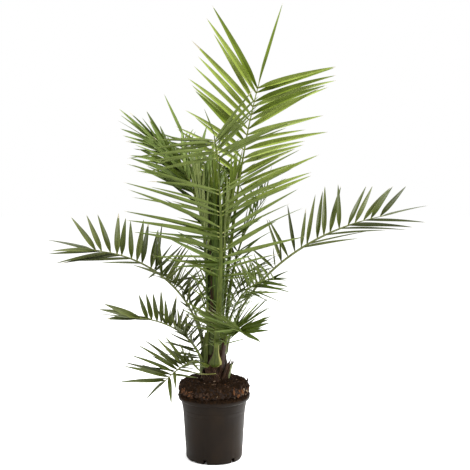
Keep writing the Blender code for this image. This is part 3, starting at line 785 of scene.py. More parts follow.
OWN = {
    "frond_tall": dict(girth=0.65, least=0.0045, light=(0.55, 0.75), lost=0.3, roots=(2, 0.26), width=0.9,
        tints=(8, 1, 2), end_aim=(214, 1373)),
    "frond_front": dict(girth=1.0, start=0.02, spade=True, light=(0.2, 0.2), lost=0.3, roots=(3, 0.38),
        tips=(17, 0.985, 0.6), width=0.8, deep_from=0.93, end_aim=(-19, 1045), end_width=0.9,
        end_tint=5),
    "frond_left_high": dict(girth=1.0, width=1.35, slim_foot=0.25, tints=(4, 4, 2), between=(2, 12),
        end_aim=(-279, 1009)),
    "frond_back_left": dict(girth=0.8, slim_foot=0.4, between=(1, 13), end_aim=(-153, 1084), end_width=1.4,
        end_tint=1),
    "frond_back": dict(girth=1.0, lost=0.15, tints=(1, 1, 4)),
    "frond_back_right": dict(girth=1.0, light=(0.8, 0.8), lost=0.45),
    "frond_back_low_left": dict(width=0.45, between=(1, 15)),
    "frond_back_low_right": dict(width=0.45, between=(1, 15)),
    # the inner fronds' leaflets lean to the deepest green, as painted shade of the crown's inside
    "frond_inner_left": dict(girth=1.1, width=0.75, tints=(1, 0, 5), between=(1, 5)),
    "frond_inner_right": dict(girth=1.1, width=1.3, tints=(1, 0, 5), between=(3, 6)),
    "frond_left_arch": dict(girth=0.5, least=0.0072, margins=False, roots=(3, 0.12), width=1.15,
        slim_foot=0.4, tints=(4, 5, 3), end_aim=(-477, 667), end_width=1.2),
    "frond_right_arch": dict(girth=0.5, least=0.008, clasp=1.2, roots=(2, 0.08), width=0.95,
        between=(1, 30, 0.5, 0.5), end_aim=(625, 761)),
    "frond_left_low": dict(girth=1.0, least=0.0058, clasp=2.0, margins=False, roots=(2, 0.25), width=1.15,
        slim_foot=0.45, between=(1, 30, 0.6, 0.5), end_aim=(-334, 459)),
    "frond_left_foot": dict(least=0.0055, clasp=2.9, margins=False, raised=0.024, width=0.84,
        end_aim=(-187, 241), end_width=1.0),
    # near_right and right_mid lean to the deepest green, and their side that faces away from the light
    # takes it alone: painted shade
    "frond_near_right": dict(age="mature", least=0.005, dead_base=True, light=(0.7, 0.35),
        tips=(7, 0.9, 0.45), width=0.7, tints=(3, 1, 6), painted_shade_side=1, between=(5, 10, 1.0, 0.7, -1),
        end_aim=(136, 389), end_width=2.0),
    "frond_right_mid": dict(age="mature", least=0.006, clasp=1.2, light=(0.6, 0.1), width=0.62,
        slim_foot=0.5, tints=(1, 0, 4), painted_shade_side=1, between=(1, 11), end_aim=(213, 571)),
    "spear": dict(girth=1.6),
}
LOOKS = {name: {**USUAL, **OWN.get(name, {})} for name in FRONDS}


# %% Rib rule
def heading(azimuth, rise):
    a, r = radians(azimuth), radians(rise)
    return Vector((cos(r) * cos(a), cos(r) * sin(a), sin(r)))


def frond_foot(f):
    bearing, height = f["foot"]
    if height > TRUNK[-1][0]:
        return Vector((TRUNK_AXIS, 0, height + GAP))
    out = lookup(TRUNK, height) + GAP + FOOT_DEPTH / 2 * sin(radians(f["rise"][0]))
    return polar(out, radians(bearing), height, TRUNK_AXIS)


def rib_of(f):
    """Points along the rib with its frame: along, side and up (the leaf's upper face)."""
    at = frond_foot(f)
    points, frames = [at.copy()], []
    for i in range(RIB_STEPS):
        s = (i + 0.5) / RIB_STEPS
        azimuth = f["azimuth"] + f["turn"] * s
        along = heading(azimuth, mix(f["rise"], s ** f["bend"]))
        at = at + along * f["length"] / RIB_STEPS
        points.append(at.copy())
        settle_in = min(1, s * f["length"] / FOOT_TURN)
        bearing = f["foot"][0]
        a = radians(bearing + (azimuth - bearing) * settle_in)
        side = Vector((-sin(a), cos(a), 0))
        side = (side - along * side.dot(along)).normalized()
        frames.append((along, side, along.cross(side)))
    return points, frames


def rib_at(rib, s):
    points, frames = rib
    x = min(max(s, 0), 1) * RIB_STEPS
    i = min(int(x), RIB_STEPS - 1)
    j = max(0, min(RIB_STEPS - 1, i if x - i > 0.5 else i - 1))
    k = min(j + 1, RIB_STEPS - 1)
    t = min(max(x - j - 0.5, 0), 1)
    axes = [(a * (1 - t) + b * t).normalized() for a, b in zip(frames[j], frames[k])]
    return points[i].lerp(points[i + 1], x - i), axes


def rib_size(f, s):
    """Width and depth of the rib: clasping foot, petiole, slim tip."""
    stout = STOUT + STOUTER * f["length"] / LONG_FROND
    fade = exp(-s * f["length"] / FOOT_FADE)
    wide = mix((stout, RIB_TIP[0]), s) + max(f["base"] - stout, 0) * fade
    deep = mix((stout * 0.8, RIB_TIP[1]), s)
    return wide, deep + (FOOT_DEPTH - deep) * fade


# %% Leaflet rule
def leaflets_of(f, rng):
    """Sizes and angles of each leaflet pair, from the spines at the foot to the tip."""
    rows = []
    for k in range(f["pairs"]):
        t = k / (f["pairs"] - 1)
        young = min(1, t / f["ramp"])
        grow = mix((f["first"], 1.0), young) * mix((1.0, f["tip_leaf"]), max(0, (t - 0.4) / 0.6))
        slim = f["slim"] * mix((SPINE_SLIM, 1.0), young)
        s = mix((f["bare"], LAST_ROOT), t)
        s += rng.uniform(-ROOT_STRAY, ROOT_STRAY) * (1 - f["bare"]) / f["pairs"]
        for sign, (angle, lift) in ((1, f["left"]), (-1, f["right"])):
            alpha = mix(angle, t) + rng.uniform(-1, 1) * WILD
            beta = mix(lift, t) + rng.uniform(-1, 1) * WILD * 1.8 + (PLANES if k % 2 else -PLANES)
            size = f["leaf"] * grow * (1 + SIZE_STRAY * rng.uniform(-1, 1))
            rows.append((s, sign, alpha, beta, size, size * slim))
    return rows


def leaflet_shape(axes, sign, alpha, beta):
    """Direction, width direction and upper side of a leaflet."""
    along, side, up = axes
    a, b = radians(alpha), radians(beta)
    out = side * (sign * cos(b)) + up * sin(b)
    d = (along * cos(a) + out * sin(a)).normalized()
    w = (along - d * along.dot(d)).normalized()
    n = w.cross(d) if sign > 0 else d.cross(w)
    return d, w, n


# %% [markdown]
# Where leaflets would have touched, the plain model turned or shortened one, by the
# first of a few fixed changes that was free. The solid's own corners say which: the
# one whose tip is there. A leaflet with no such corner was left out. Real leaflets
# also stand in bunches of two or three whose tips lean together, and each rolls its
# face a little to the light, so both are added here by a few degrees. The tips that
# stand clear in the photo were measured, and their leaflets are turned to them.

# %% Measured tips
# by frond, side (1 left of the rib, -1 right) and first pair, counted from the foot:
# where the tips of that pair and of each one below it are, in millimetres right of the
# pot's axis and above the floor, and a share of the width where it isn't 1. None: the
# tip can't be told apart. (): the photo shows sky, so the leaflet isn't grown.
AIMS = {
    ("frond_tall", 1, 23): ((0, 1352), (-20, 1315), (0, 1270, 0.8), (-58, 1248), (-49, 1204),
        (-64, 1169, 0.8), (-75, 1140), (-69, 1112), (-58, 1096), (-82, 1044, 0.8), (-55, 1016, 0.8),
        (-109, 997, 0.8)),
    ("frond_tall", -1, 23): ((352, 1170), (357, 1163), (354, 1149), (355, 1136), (321, 1119),
        (332, 1106), (301, 1102), (317, 1021), (265, 983, 0.7), (327, 980), (261, 952), (261, 933),
        (235, 923), (216, 910, 0.5), (231, 889, 0.7), (311, 905), (284, 857), (285, 844), (), (), ()),
    ("frond_front", 1, 23): ((105, 1097, 1.1), (120, 1081, 1.15), (123, 1058), (118, 1040, 0.9),
        (108, 1021, 0.8), (200, 1011, 1.3), (194, 997), (201, 925, 0.5), (238, 938), (207, 888, 0.9),
        (203, 851), (209, 838, 0.8), (), (235, 817), (208, 778, 0.6), (245, 775, 0.5), (175, 732, 1.3),
        (257, 683, 1.5), (185, 636, 1.1), None, None, (), ()),
    ("frond_front", -1, 23): ((-163, 956, 1.1), (-164, 940, 1.2), (-153, 924), (-224, 915), (-175, 894),
        (-193, 901), (-186, 870), (-170, 852, 0.8), (-230, 895), (-162, 833, 0.7), (-236, 845),
        (-210, 808, 0.7), (-228, 824), (-239, 762, 1.1), (-229, 742, 1.2), (-220, 702, 1.1), (-123, 704),
        (-155, 647, 0.8), (-169, 629), None, (), (), (), ()),
    ("frond_left_high", 1, 17): ((-264, 1024), (-263, 988), (-254, 971, 0.8), (-240, 954, 0.7),
        (-227, 982, 0.7), (-232, 918), (-204, 930), (-230, 908), (-188, 898), (-224, 888), (), (), (),
        (), (), (), (), ()),
    ("frond_left_high", -1, 17): ((-277, 1044), (-251, 1038, 0.7), (-205, 1035), (-200, 1011),
        (-180, 972), (-167, 965), (-103, 995, 0.6), (-104, 955), (-26, 998), (-70, 949)),
    ("frond_back_left", 1, 17): ((-177, 973, 0.8), (-175, 951), (-170, 946), (-161, 932), None,
        (-180, 929), None, None, None, None, (), (), (), (), ()),
    ("frond_back_left", -1, 17): ((-68, 982, 0.7), (-59, 973, 0.7), (), ()),
    ("frond_back_right", -1, 14): ((176, 873, 0.5), (163, 853, 0.5), (144, 855, 0.5), (144, 832, 0.5),
        (132, 826, 0.5), (119, 811, 0.5), (155, 776, 0.4), (113, 761, 0.5), (101, 755, 0.5),
        (171, 687, 0.4), (147, 678, 0.6), (129, 645, 0.6)),
    ("frond_back", 1, 15): ((-87, 938), (-84, 917)),
    ("frond_left_arch", -1, 16): ((-421, 724), (-377, 729), (-344, 730), (-285, 738, 1.15), (-267, 719),
        (-250, 713), (-209, 711), (-192, 708), (-170, 684), (-153, 705, 0.6), (-169, 676, 0.6),
        (-80, 644, 0.5), (-71, 608, 0.5)),
    ("frond_left_arch", 1, 16): ((-460, 645, 0.8), (-480, 622, 0.8), (-459, 600, 0.7), (-444, 598, 0.65),
        (-418, 601, 0.5), (-395, 602, 0.6), (), (-317, 607, 0.5), (), None, (-232, 594, 0.6), (), None,
        (), (), (), ()),
    ("frond_right_arch", 1, 18): ((573, 811), (528, 816), (522, 809), (476, 812), (457, 814), (371, 821),
        (378, 812), (334, 813), (320, 801), (296, 795, 0.9), (279, 742, 0.8), (219, 757, 0.7),
        (163, 712, 0.75), (156, 723, 0.8), (105, 632, 0.8), (96, 607, 0.8)),
    ("frond_right_arch", -1, 16): ((622, 719, 0.7), (), (620, 706), (579, 698, 0.5), None,
        (527, 701, 0.5), (), (457, 690, 0.45), (421, 668, 0.6), (), (), (), (), (), ()),
    ("frond_left_low", -1, 13): ((-313, 485, 1.2), (-330, 469, 1.2), (-218, 509), (-196, 505),
        (-176, 512), (-152, 518), (-142, 490, 0.9), (-109, 495, 0.9), (-88, 455, 0.8), (-72, 441, 0.8),
        (-50, 432, 0.75), (-42, 410, 0.7)),
    ("frond_left_low", 1, 12): ((-311, 441, 1.5), None, (-288, 444), (), (), (), (), (), ()),
    ("frond_left_foot", -1, 10): ((-261, 278), (-247, 330), (-253, 326), (-235, 350), (-215, 374),
        (-193, 387), (-163, 386), (-141, 390), (-104, 372, 0.7), (-75, 357, 0.7)),
    ("frond_left_foot", 1, 9): ((-112, 242), (), (-99, 286), (-38, 320, 0.6), (-44, 331, 0.4), (),
        (-15, 329, 0.35), (), (), ()),
    ("frond_near_right", 1, 11): ((158, 424, 1.5), None, (159, 439, 1.7), (157, 447, 1.7), (167, 450),
        (168, 475, 0.5), (165, 499, 0.5), (166, 474, 0.5), (143, 477, 0.5), (161, 441, 0.5)),
    ("frond_near_right", -1, 12): ((38, 448, 0.45), (26, 467, 0.45), (10, 468, 0.45), (-7, 474, 0.5),
        (-16, 479, 0.6), (-44, 485, 0.7), (-72, 477, 0.8), (-85, 498, 0.8), (-90, 448, 0.7),
        (-95, 468, 0.8), (-92, 426, 0.6), (-64, 432, 0.5)),
    ("frond_right_mid", 1, 11): ((212, 596), (213, 574), (208, 549), (214, 541, 1.3), (224, 518, 1.3),
        (216, 526), (209, 481, 0.7), (192, 506), (167, 508), (143, 511)),
    ("frond_right_mid", -1, 12): ((153, 612), (126, 626), (104, 627), (115, 646), (77, 613), (82, 637),
        None, (), (), (), ()),
    ("frond_back_low_left", 1, 6): ((), (), (), (), ()),
    ("frond_inner_left", -1, 3): ((), None, ()),
}
GOALS = {(name, sign, first - k): goal for (name, sign, first), row in AIMS.items()
         for k, goal in enumerate(row) if goal is not None}


# %% Match leaflets to their solids
# metres: a corner of the solid this near is the leaflet's own tip
TIP_MATCH = 0.0005
# degrees: tips lean together in twos, and each strays a little
LEAN, STRAY = 1.6, 2.2
# a leaflet turned to a measured tip keeps between these shares of its size
SHORTEST, LONGEST = 0.75, 1.2
# the last few millimetres of a tip are too thin to be seen in the photo
UNSEEN_TIP = 1.035
# faces roll towards the camera and a little up, but not where they are seen end on
LIGHT_SIDE, END_ON = Vector((0, -0.93, 0.37)), 0.2
# added leaflets: how far from the grown one in pairs, and the shares of its size
FILL_SPREAD, FILL_SIZES = 0.6, (0.5, 0.92)
# they and the spines spring a little inside the rib's edge: share of its whole width
INSIDE = 0.4


def corners_of(node):
    points = frame["nodes"][node].data.vertices
    tree = KDTree(len(points))
    for i, vertex in enumerate(points):
        tree.insert(vertex.co, i)
    tree.balance()
    return tree


def to_light(d, w, n, share):
    """Rolls a leaflet's face part of the way to the light, on the side it already shows."""
    face = LIGHT_SIDE - d * d.dot(LIGHT_SIDE)
    if face.length < END_ON:
        return w, n
    face = face.normalized() * (1 if n.dot(face) >= 0 else -1)
    turned_n = (n * (1 - share) + face * share).normalized()
    turned_w = turned_n.cross(d) if w.dot(turned_n.cross(d)) > 0 else d.cross(turned_n)
    return turned_w, turned_n


def aimed(root, d, w, n, size, goal):
    """Turns a leaflet so that its tip, seen from the front, comes to the goal."""
    want = Vector((goal[0] / 1000 - root.x, 0, goal[1] / 1000 + LEAF_DROOP * size - root.z)) * UNSEEN_TIP
    span, old = want.length, hypot(d.x, d.z) * size
    if span < old:
        size *= max(span / old, SHORTEST)
    else:
        size *= min(max(span / size, 1), LONGEST)
    reach = min(span / size, 1)
    new_d = want.normalized() * reach
    new_d.y = copysign(sqrt(1 - reach * reach), d.y)
    turn = d.rotation_difference(new_d)
    return new_d, turn @ w, turn @ n, size


def strayed(rng, d, w, n, wild):
    """A leaflet's three directions, turned some degrees at random."""
    a, b = (radians(rng.uniform(-wild, wild)) for _ in range(2))
    d, w = d * cos(a) + w * sin(a), w * cos(a) - d * sin(a)
    return d * cos(b) + n * sin(b), w, n * cos(b) - d * sin(b)


def raised(rib, rise):
    """The rib with its foot raised, by less and less towards its tip."""
    points, frames = rib
    return [p + Vector((0, 0, rise * (1 - k / RIB_STEPS) ** 1.5)) for k, p in enumerate(points)], frames


def leaf_root(f, rib, s, sign, share=0.5):
    """Where a leaflet leaves the rib's edge, with the rib's axes there."""
    at, axes = rib_at(rib, s)
    return at + axes[1] * sign * rib_size(f, s)[0] * share, axes


# %% Grown leaflets
def grown_leaflets(name, f, look, plain_rib, rib, rng):
    """Root, directions, size and width of each leaflet that the solid has."""
    tree = corners_of(name)
    grown = []
    for i, (s, sign, alpha, beta, size, wide) in enumerate(leaflets_of(f, random.Random(name))):
        pair = i // 2
        root, axes = leaf_root(f, plain_rib, s, sign)
        for da, db, share in DODGES:
            frame_of_leaf = leaflet_shape(axes, sign, alpha + da, beta + db)
            tip = root + frame_of_leaf[0] * size * share + Vector((0, 0, -LEAF_DROOP * size * share))
            if tree.find(tip)[2] < TIP_MATCH:
                break
        else:
            continue
        size *= share
        count, pull = look["roots"]
        s -= (pair % count - (count - 1) / 2) * pull * (1 - f["bare"]) / f["pairs"]
        first, where, pull = look["tips"]
        if pair >= first:
            s = mix((s, where), pull)
        root, axes = leaf_root(f, rib, s, sign)
        goal = GOALS.get((name, sign, pair))
        if goal is None:
            da += (LEAN if pair % 2 else -LEAN) + rng.uniform(-STRAY, STRAY)
            db += rng.uniform(-STRAY, STRAY) * 2
            d, w, n = leaflet_shape(axes, sign, alpha + da, beta + db)
            kept = rng.random() >= look["lost"]
        elif goal:
            d, w, n, size = aimed(root, *frame_of_leaf, size, goal)
            wide *= goal[2] if len(goal) > 2 else 1
            kept = True
        else:
            kept = False
        if kept:
            grown.append(dict(s=s, sign=sign, root=root, d=d, w=w, n=n, size=size, wide=wide))
    return grown


def between(f, rib, grown, rng, count, wild, limit=1.0, thin=0.85, only=0):
    """More leaflets among the grown ones, shorter, thinner and at looser angles."""
    pitch = (1 - f["bare"]) / max(f["pairs"], 1)
    extra = []
    for g in grown:
        for _ in range(count):
            s = min(max(g["s"] + rng.uniform(-FILL_SPREAD, FILL_SPREAD) * pitch, f["bare"]), 0.99)
            if s > limit or only == -g["sign"]:
                continue
            root = leaf_root(f, rib, s, g["sign"], INSIDE)[0]
            d, w, n = strayed(rng, g["d"], g["w"], g["n"], wild)
            size = g["size"] * rng.uniform(*FILL_SIZES)
            extra.append({**g, **dict(s=s, root=root, d=d, w=w, n=n, size=size, wide=g["wide"] * thin)})
    return extra


# %% [markdown]
# A date palm's leaflet is folded like a shallow gutter that opens upward: tight at
# its foot, flatter towards the tip. That fold keeps it stiff, and it splits each
# leaflet into a light and a dark half, which is what makes the crown sparkle. Each
# is a closed blade with five points across, thicker along the fold, with a pale
# swollen joint where it meets the rib, and some end in a dry grey tip.

# %% Leaf finishes
VEIN_GAP = 0.002


def leaf(name, dark, light, roughness, shine):
    # waxy cuticle over green tissue: satin, with a fine lengthwise grain
    mat = new_material(name, light, roughness, {"IOR": 1.45, "Specular IOR Level": shine})
    two_tones(mat, mottle(mat, (0.05, 0.05, 0.05), detail=3.0), dark, light, 0.3, 0.7)
    # the veins stand 0.5 mm apart, drawn 2 mm apart so that they show
    veins = mottle(mat, (VEIN_GAP, 0.06, 1.0), detail=1.0, source="UV")
    bump(mat, veins, 0.35, 0.0004)
    return mat


LEAF_GREENS = {
    "young": (("606c2a", "73803a"), ("6d793c", "83904c"), ("455217", "57651f"), ("586130", "6a7344")),
    "mature": (("455226", "586730"), ("566434", "6b7a3f"), ("2e390c", "3c4911"), ("414b20", "525d2a")),
    "old": (("333a14", "40481b"), ("404720", "50562b"), ("272d0d", "333915"), ("4b5138", "5a6046")),
}
SHINE = {"young": 0.15, "mature": 0.14, "old": 0.30}
AGES = {"young_frond": "young", "frond": "mature", "old_frond": "old"}
# three greens for the upper face, and the places of the other finishes after them
TOPS, UNDER, JOINT, DRY = 3, 3, 4, 5

joint_green = plant_matter("leaflet_joint", "6b7030", 0.55)
dry_tip = plant_matter("dry_leaf_tip", "8c8672", 0.75)
leaf_finishes = {}
for age, greens in LEAF_GREENS.items():
    shades = [leaf("%s_leaf_%d" % (age, i + 1), *greens[i], 0.40, SHINE[age]) for i in range(TOPS)]
    under = leaf(age + "_leaf_underside", *greens[TOPS], 0.6, 0.12)
    leaf_finishes[age] = shades + [under, joint_green, dry_tip]


# %% Leaflet blade
# stations along a leaflet, its outline in shares of its width, and its fold in degrees
STATIONS = (0, 0.03, 0.07, 0.13, 0.20, 0.28, 0.36, 0.45, 0.54, 0.63, 0.72, 0.80, 0.87, 0.93, 0.97, 1.0)
OUTLINE = ((0, 0.22), (0.04, 0.36), (0.12, 0.72), (0.20, 0.93), (0.30, 1.0), (0.45, 0.93),
           (0.60, 0.76), (0.76, 0.52), (0.90, 0.26), (1.0, 0.03))
FOLD = ((0, 64), (0.10, 54), (0.30, 41), (0.70, 33), (1.0, 22))
ACROSS = (-1.0, -0.5, 0.0, 0.5, 1.0)
FOLD_THICK, EDGE_THICK = 0.0011, 0.0005
# how far a leaflet may curve sideways and sag at its tip, in shares of its length
SWEEP, TIP_SAG = 0.03, 0.03


def add_leaflet(heap, rng, root, d, w, n, size, wide, tint, dry=0.03, twist=14.0, bend=0.0):
    """A closed folded blade of five points across, swollen at its joint."""
    spin = radians(rng.uniform(-twist, twist))
    sweep = rng.uniform(-SWEEP, SWEEP)
    tip_sag = rng.uniform(0.0, TIP_SAG) + bend
    verts, uvs = [], []
    for u in STATIONS:
        turn = spin * ease(u * 1.4)
        x = w * cos(turn) + n * sin(turn)
        y = n * cos(turn) - w * sin(turn)
        centre = root + d * (size * u) + w * (sweep * size * u * u)
        centre.z -= size * (LEAF_DROOP * u ** 1.6 + tip_sag * u ** 3)
        reach = wide / 2 * lookup(OUTLINE, u)
        rise = tan(radians(lookup(FOLD, u)))
        slim = 1 - 0.6 * u
        top, low = [], []
        for c in ACROSS:
            height = reach * rise * (abs(c) - 0.4) - reach * 0.08 * (1 - abs(2 * abs(c) - 1))
            thick = mix((FOLD_THICK, EDGE_THICK), abs(c)) * slim
            point = centre + x * (c * reach) + y * height
            top.append(point + y * thick / 2)
            low.append(point - y * thick / 2)
            uvs.append((c * reach, u * size))
        verts += top + low[::-1]
        uvs += uvs[-1:-6:-1]
    ring = 2 * len(ACROSS)
    marks = [JOINT] * ring
    for u in STATIONS[2:]:
        marks += [DRY if u > 1 - dry else tint if i < len(ACROSS) - 1 else UNDER for i in range(ring)]
    heap.add(verts, ring_faces(len(STATIONS), ring), marks + [JOINT, DRY], uvs)


# %% [markdown]
# The rib is yellow-green and flat above, rounded below. At its foot it widens into
# a clasping base, paler, with brown dead margins. Near the foot there are no
# leaflets but stiff green spines, which are leaflets that never opened.

# %% Rib finishes
def rib_skin(name, dark, light):
    # smooth living skin with a thin wax bloom, streaked lengthwise
    mat = new_material(name, light, 0.45, {"IOR": 1.45, "Specular IOR Level": 0.16})
    two_tones(mat, mottle(mat, (0.006, 0.006, 0.06), detail=4.0), dark, light, 0.32, 0.68)
    bump(mat, mottle(mat, (0.0015, 0.0015, 0.03), detail=2.0), 0.3, 0.0004)
    return mat


RIB_GREENS = {"young": ("38420c", "58631a"), "mature": ("323c0e", "4c581b"), "old": ("373c1b", "565b33")}
rib_finishes = {age: rib_skin(age + "_rib", *tones) for age, tones in RIB_GREENS.items()}
straw_rib = rib_skin("front_rib", "2a340a", "4d571d")
clasping_base = rib_skin("clasping_base", "303a14", "586028")
front_base = rib_skin("front_base", "20280a", "434b18")
shaded_base = rib_skin("shaded_base", "1d240a", "373f16")
# the stalks inside the crown take a dark green: their own green darkened as painted shade of the crown's
# inside
shaded_heart_green = rib_skin("shaded_heart_green", "1a2406", "3a4a0f")
RIB_SKINS = {"frond_front": straw_rib, "frond_inner_left": shaded_heart_green, "frond_inner_right": shaded_heart_green,
             "frond_back_left": shaded_heart_green, "spear": shaded_heart_green}
dead_margin = plant_matter("dead_margin", "2b1b12", 0.8)
straw_margin = plant_matter("straw_margin", "79763f", 0.7)
spine_green = plant_matter("spine_green", "5a6a30", 0.5)
spine_tip = plant_matter("spine_tip", "332718", 0.6)
RIB, BASE, MARGIN = 0, 1, 2


# %% Rib mesh
# the living stalk is stouter than the solid's: share of its width at places along it
GIRTH = ((0, 1.0), (0.06, 1.15), (0.14, 1.6), (0.28, 2.3), (0.42, 2.2), (0.54, 1.7),
         (0.72, 1.4), (1.0, 1.2))
# the front leaf's spade and the waist over it: how much wider, where, and how long
SPADE, SPADE_LONG = 0.014, 0.021
WAIST, WAIST_AT, WAIST_LONG = 0.003, 0.045, 0.022
# the other bases: how far up they spread, and the reach and radius of their clasp
CLASP_LONG, CLASP_REACH, CLASP_AROUND = 0.030, 0.065, 0.034
RIB_SIDES = 14
RIB_PITCH = 0.007
BASE_REACH = 0.085
MARGIN_REACH, MARGIN_LEAST = 0.075, 0.0125
# the foot is rounded off by these steps back, with their shares of the width
FOOT_ROUND = ((-0.0105, 0.22), (-0.0085, 0.52), (-0.0055, 0.78), (-0.0025, 0.93))


def stalk_size(f, look, s):
    """Width and depth of the living stalk, with its base spread round the trunk."""
    wide, deep = rib_size(f, s)
    more = (lookup(GIRTH, s) - 1) * look["girth"]
    up_from_foot = s * f["length"] - look["start"]
    if look["spade"]:
        wide += (SPADE * exp(-(up_from_foot / SPADE_LONG) ** 2)
                 - WAIST * exp(-((up_from_foot - WAIST_AT) / WAIST_LONG) ** 2))
    elif not look["dead_base"]:
        wide += (look["clasp"] - 1) * f["base"] * exp(-(up_from_foot / CLASP_LONG) ** 2)
    least = look["least"] * (1 - s ** 6)
    return max(wide * (1 + more), least), max(deep * (1 + 0.4 * more), least)


def add_rib(heap, f, look, rib):
    """The rib's closed tube: a rounded foot, a clasping base and a slim end."""
    length = f["length"]
    count = round(length / RIB_PITCH)
    first = look["start"] / length
    root, (along, side, up) = rib_at(rib, first)
    stations = [(root + along * back + up * -back * 0.25, side, up, first, share)
                for back, share in FOOT_ROUND]
    for i in range(count + 1):
        s = mix((first, 1.0), i / count)
        at, axes = rib_at(rib, s)
        stations.append((at, axes[1], axes[2], s, 1.0))
    verts, uvs = [], []
    for at, side, up, s, share in stations:
        wide, deep = stalk_size(f, look, s)
        base = ease(1 - s * length / BASE_REACH)
        hug = ease(1 - s * length / CLASP_REACH) if f["foot"][1] < TRUNK[-1][0] else 0
        for i in range(RIB_SIDES):
            a = 2 * pi * i / RIB_SIDES
            x, y = cos(a), sin(a)
            # the upper face is flat, and hollow where the base clasps the trunk
            y = y * (0.75 - 0.55 * base) if y > 0 else y * (1 - 0.25 * base * abs(x))
            across = x * wide / 2 * share
            inward = hug * across * across / (2 * CLASP_AROUND)
            verts.append(at + side * across + up * (y * deep / 2 * share + inward))
            uvs.append((across, s * length))
    marks = []
    edged = f["base"] > MARGIN_LEAST and look["margins"]
    for _, _, _, s, _ in stations[:-1]:
        reach = s * length
        plain = (MARGIN if look["dead_base"] else BASE) if reach < BASE_REACH * 0.8 else RIB
        for i in range(RIB_SIDES):
            right_edge = i in (RIB_SIDES - 2, RIB_SIDES - 1, 0)
            left_edge = i in (RIB_SIDES // 2 - 1, RIB_SIDES // 2)
            at_margin = edged and reach < MARGIN_REACH and (left_edge or right_edge)
            marks.append((MARGIN if left_edge else MARGIN + 1) if at_margin else plain)
    heap.add(verts, ring_faces(len(stations), RIB_SIDES), marks + [BASE, RIB], uvs)


# %% Spines
SPINE_PITCH = 0.012
SPINE_SIZE = (0.026, 0.085)
SPINE_PLACES, SPINE_RADII = (0, 0.25, 0.55, 0.85, 1.0), (0.0010, 0.0009, 0.0007, 0.0004, 0.00012)
SPINE_DROOP = 0.04
# metres from the foot to the first spine, then angles from the rib and out of its plane
SPINE_FIRST, SPINE_ANGLE, SPINE_LIFT = 0.07, (35, 65), (-40, 40)


def add_spines(heap, f, rib, rng):
    """Needles on both edges of the bare part, longer towards the first leaflets."""
    first = SPINE_FIRST / f["length"]
    count = max(0, round((f["bare"] - first) * f["length"] / SPINE_PITCH))
    for k in range(count):
        t = (k + 0.5) / count
        for sign in (1, -1):
            s = mix((first, f["bare"]), t) + rng.uniform(-0.3, 0.3) * (f["bare"] - first) / count
            root, axes = leaf_root(f, rib, s, sign, INSIDE)
            d = leaflet_shape(axes, sign, rng.uniform(*SPINE_ANGLE), rng.uniform(*SPINE_LIFT))[0]
            size = mix(SPINE_SIZE, t) * rng.uniform(0.6, 1.15)
            points = [root + d * size * u - Vector((0, 0, SPINE_DROOP * size * u * u))
                      for u in SPINE_PLACES]
            verts, faces, uvs = tube(points, SPINE_RADII, 4)
            heap.add(verts, faces, [0] * 12 + [1] * 4 + [0, 1], uvs)


# %% [markdown]
# Now every frond is grown. Each gives three pieces: its rib, which takes the place
# of the solid, its leaflets, and its spines. The greens are dealt out leaflet by
# leaflet, so no picture or pattern has to carry them.

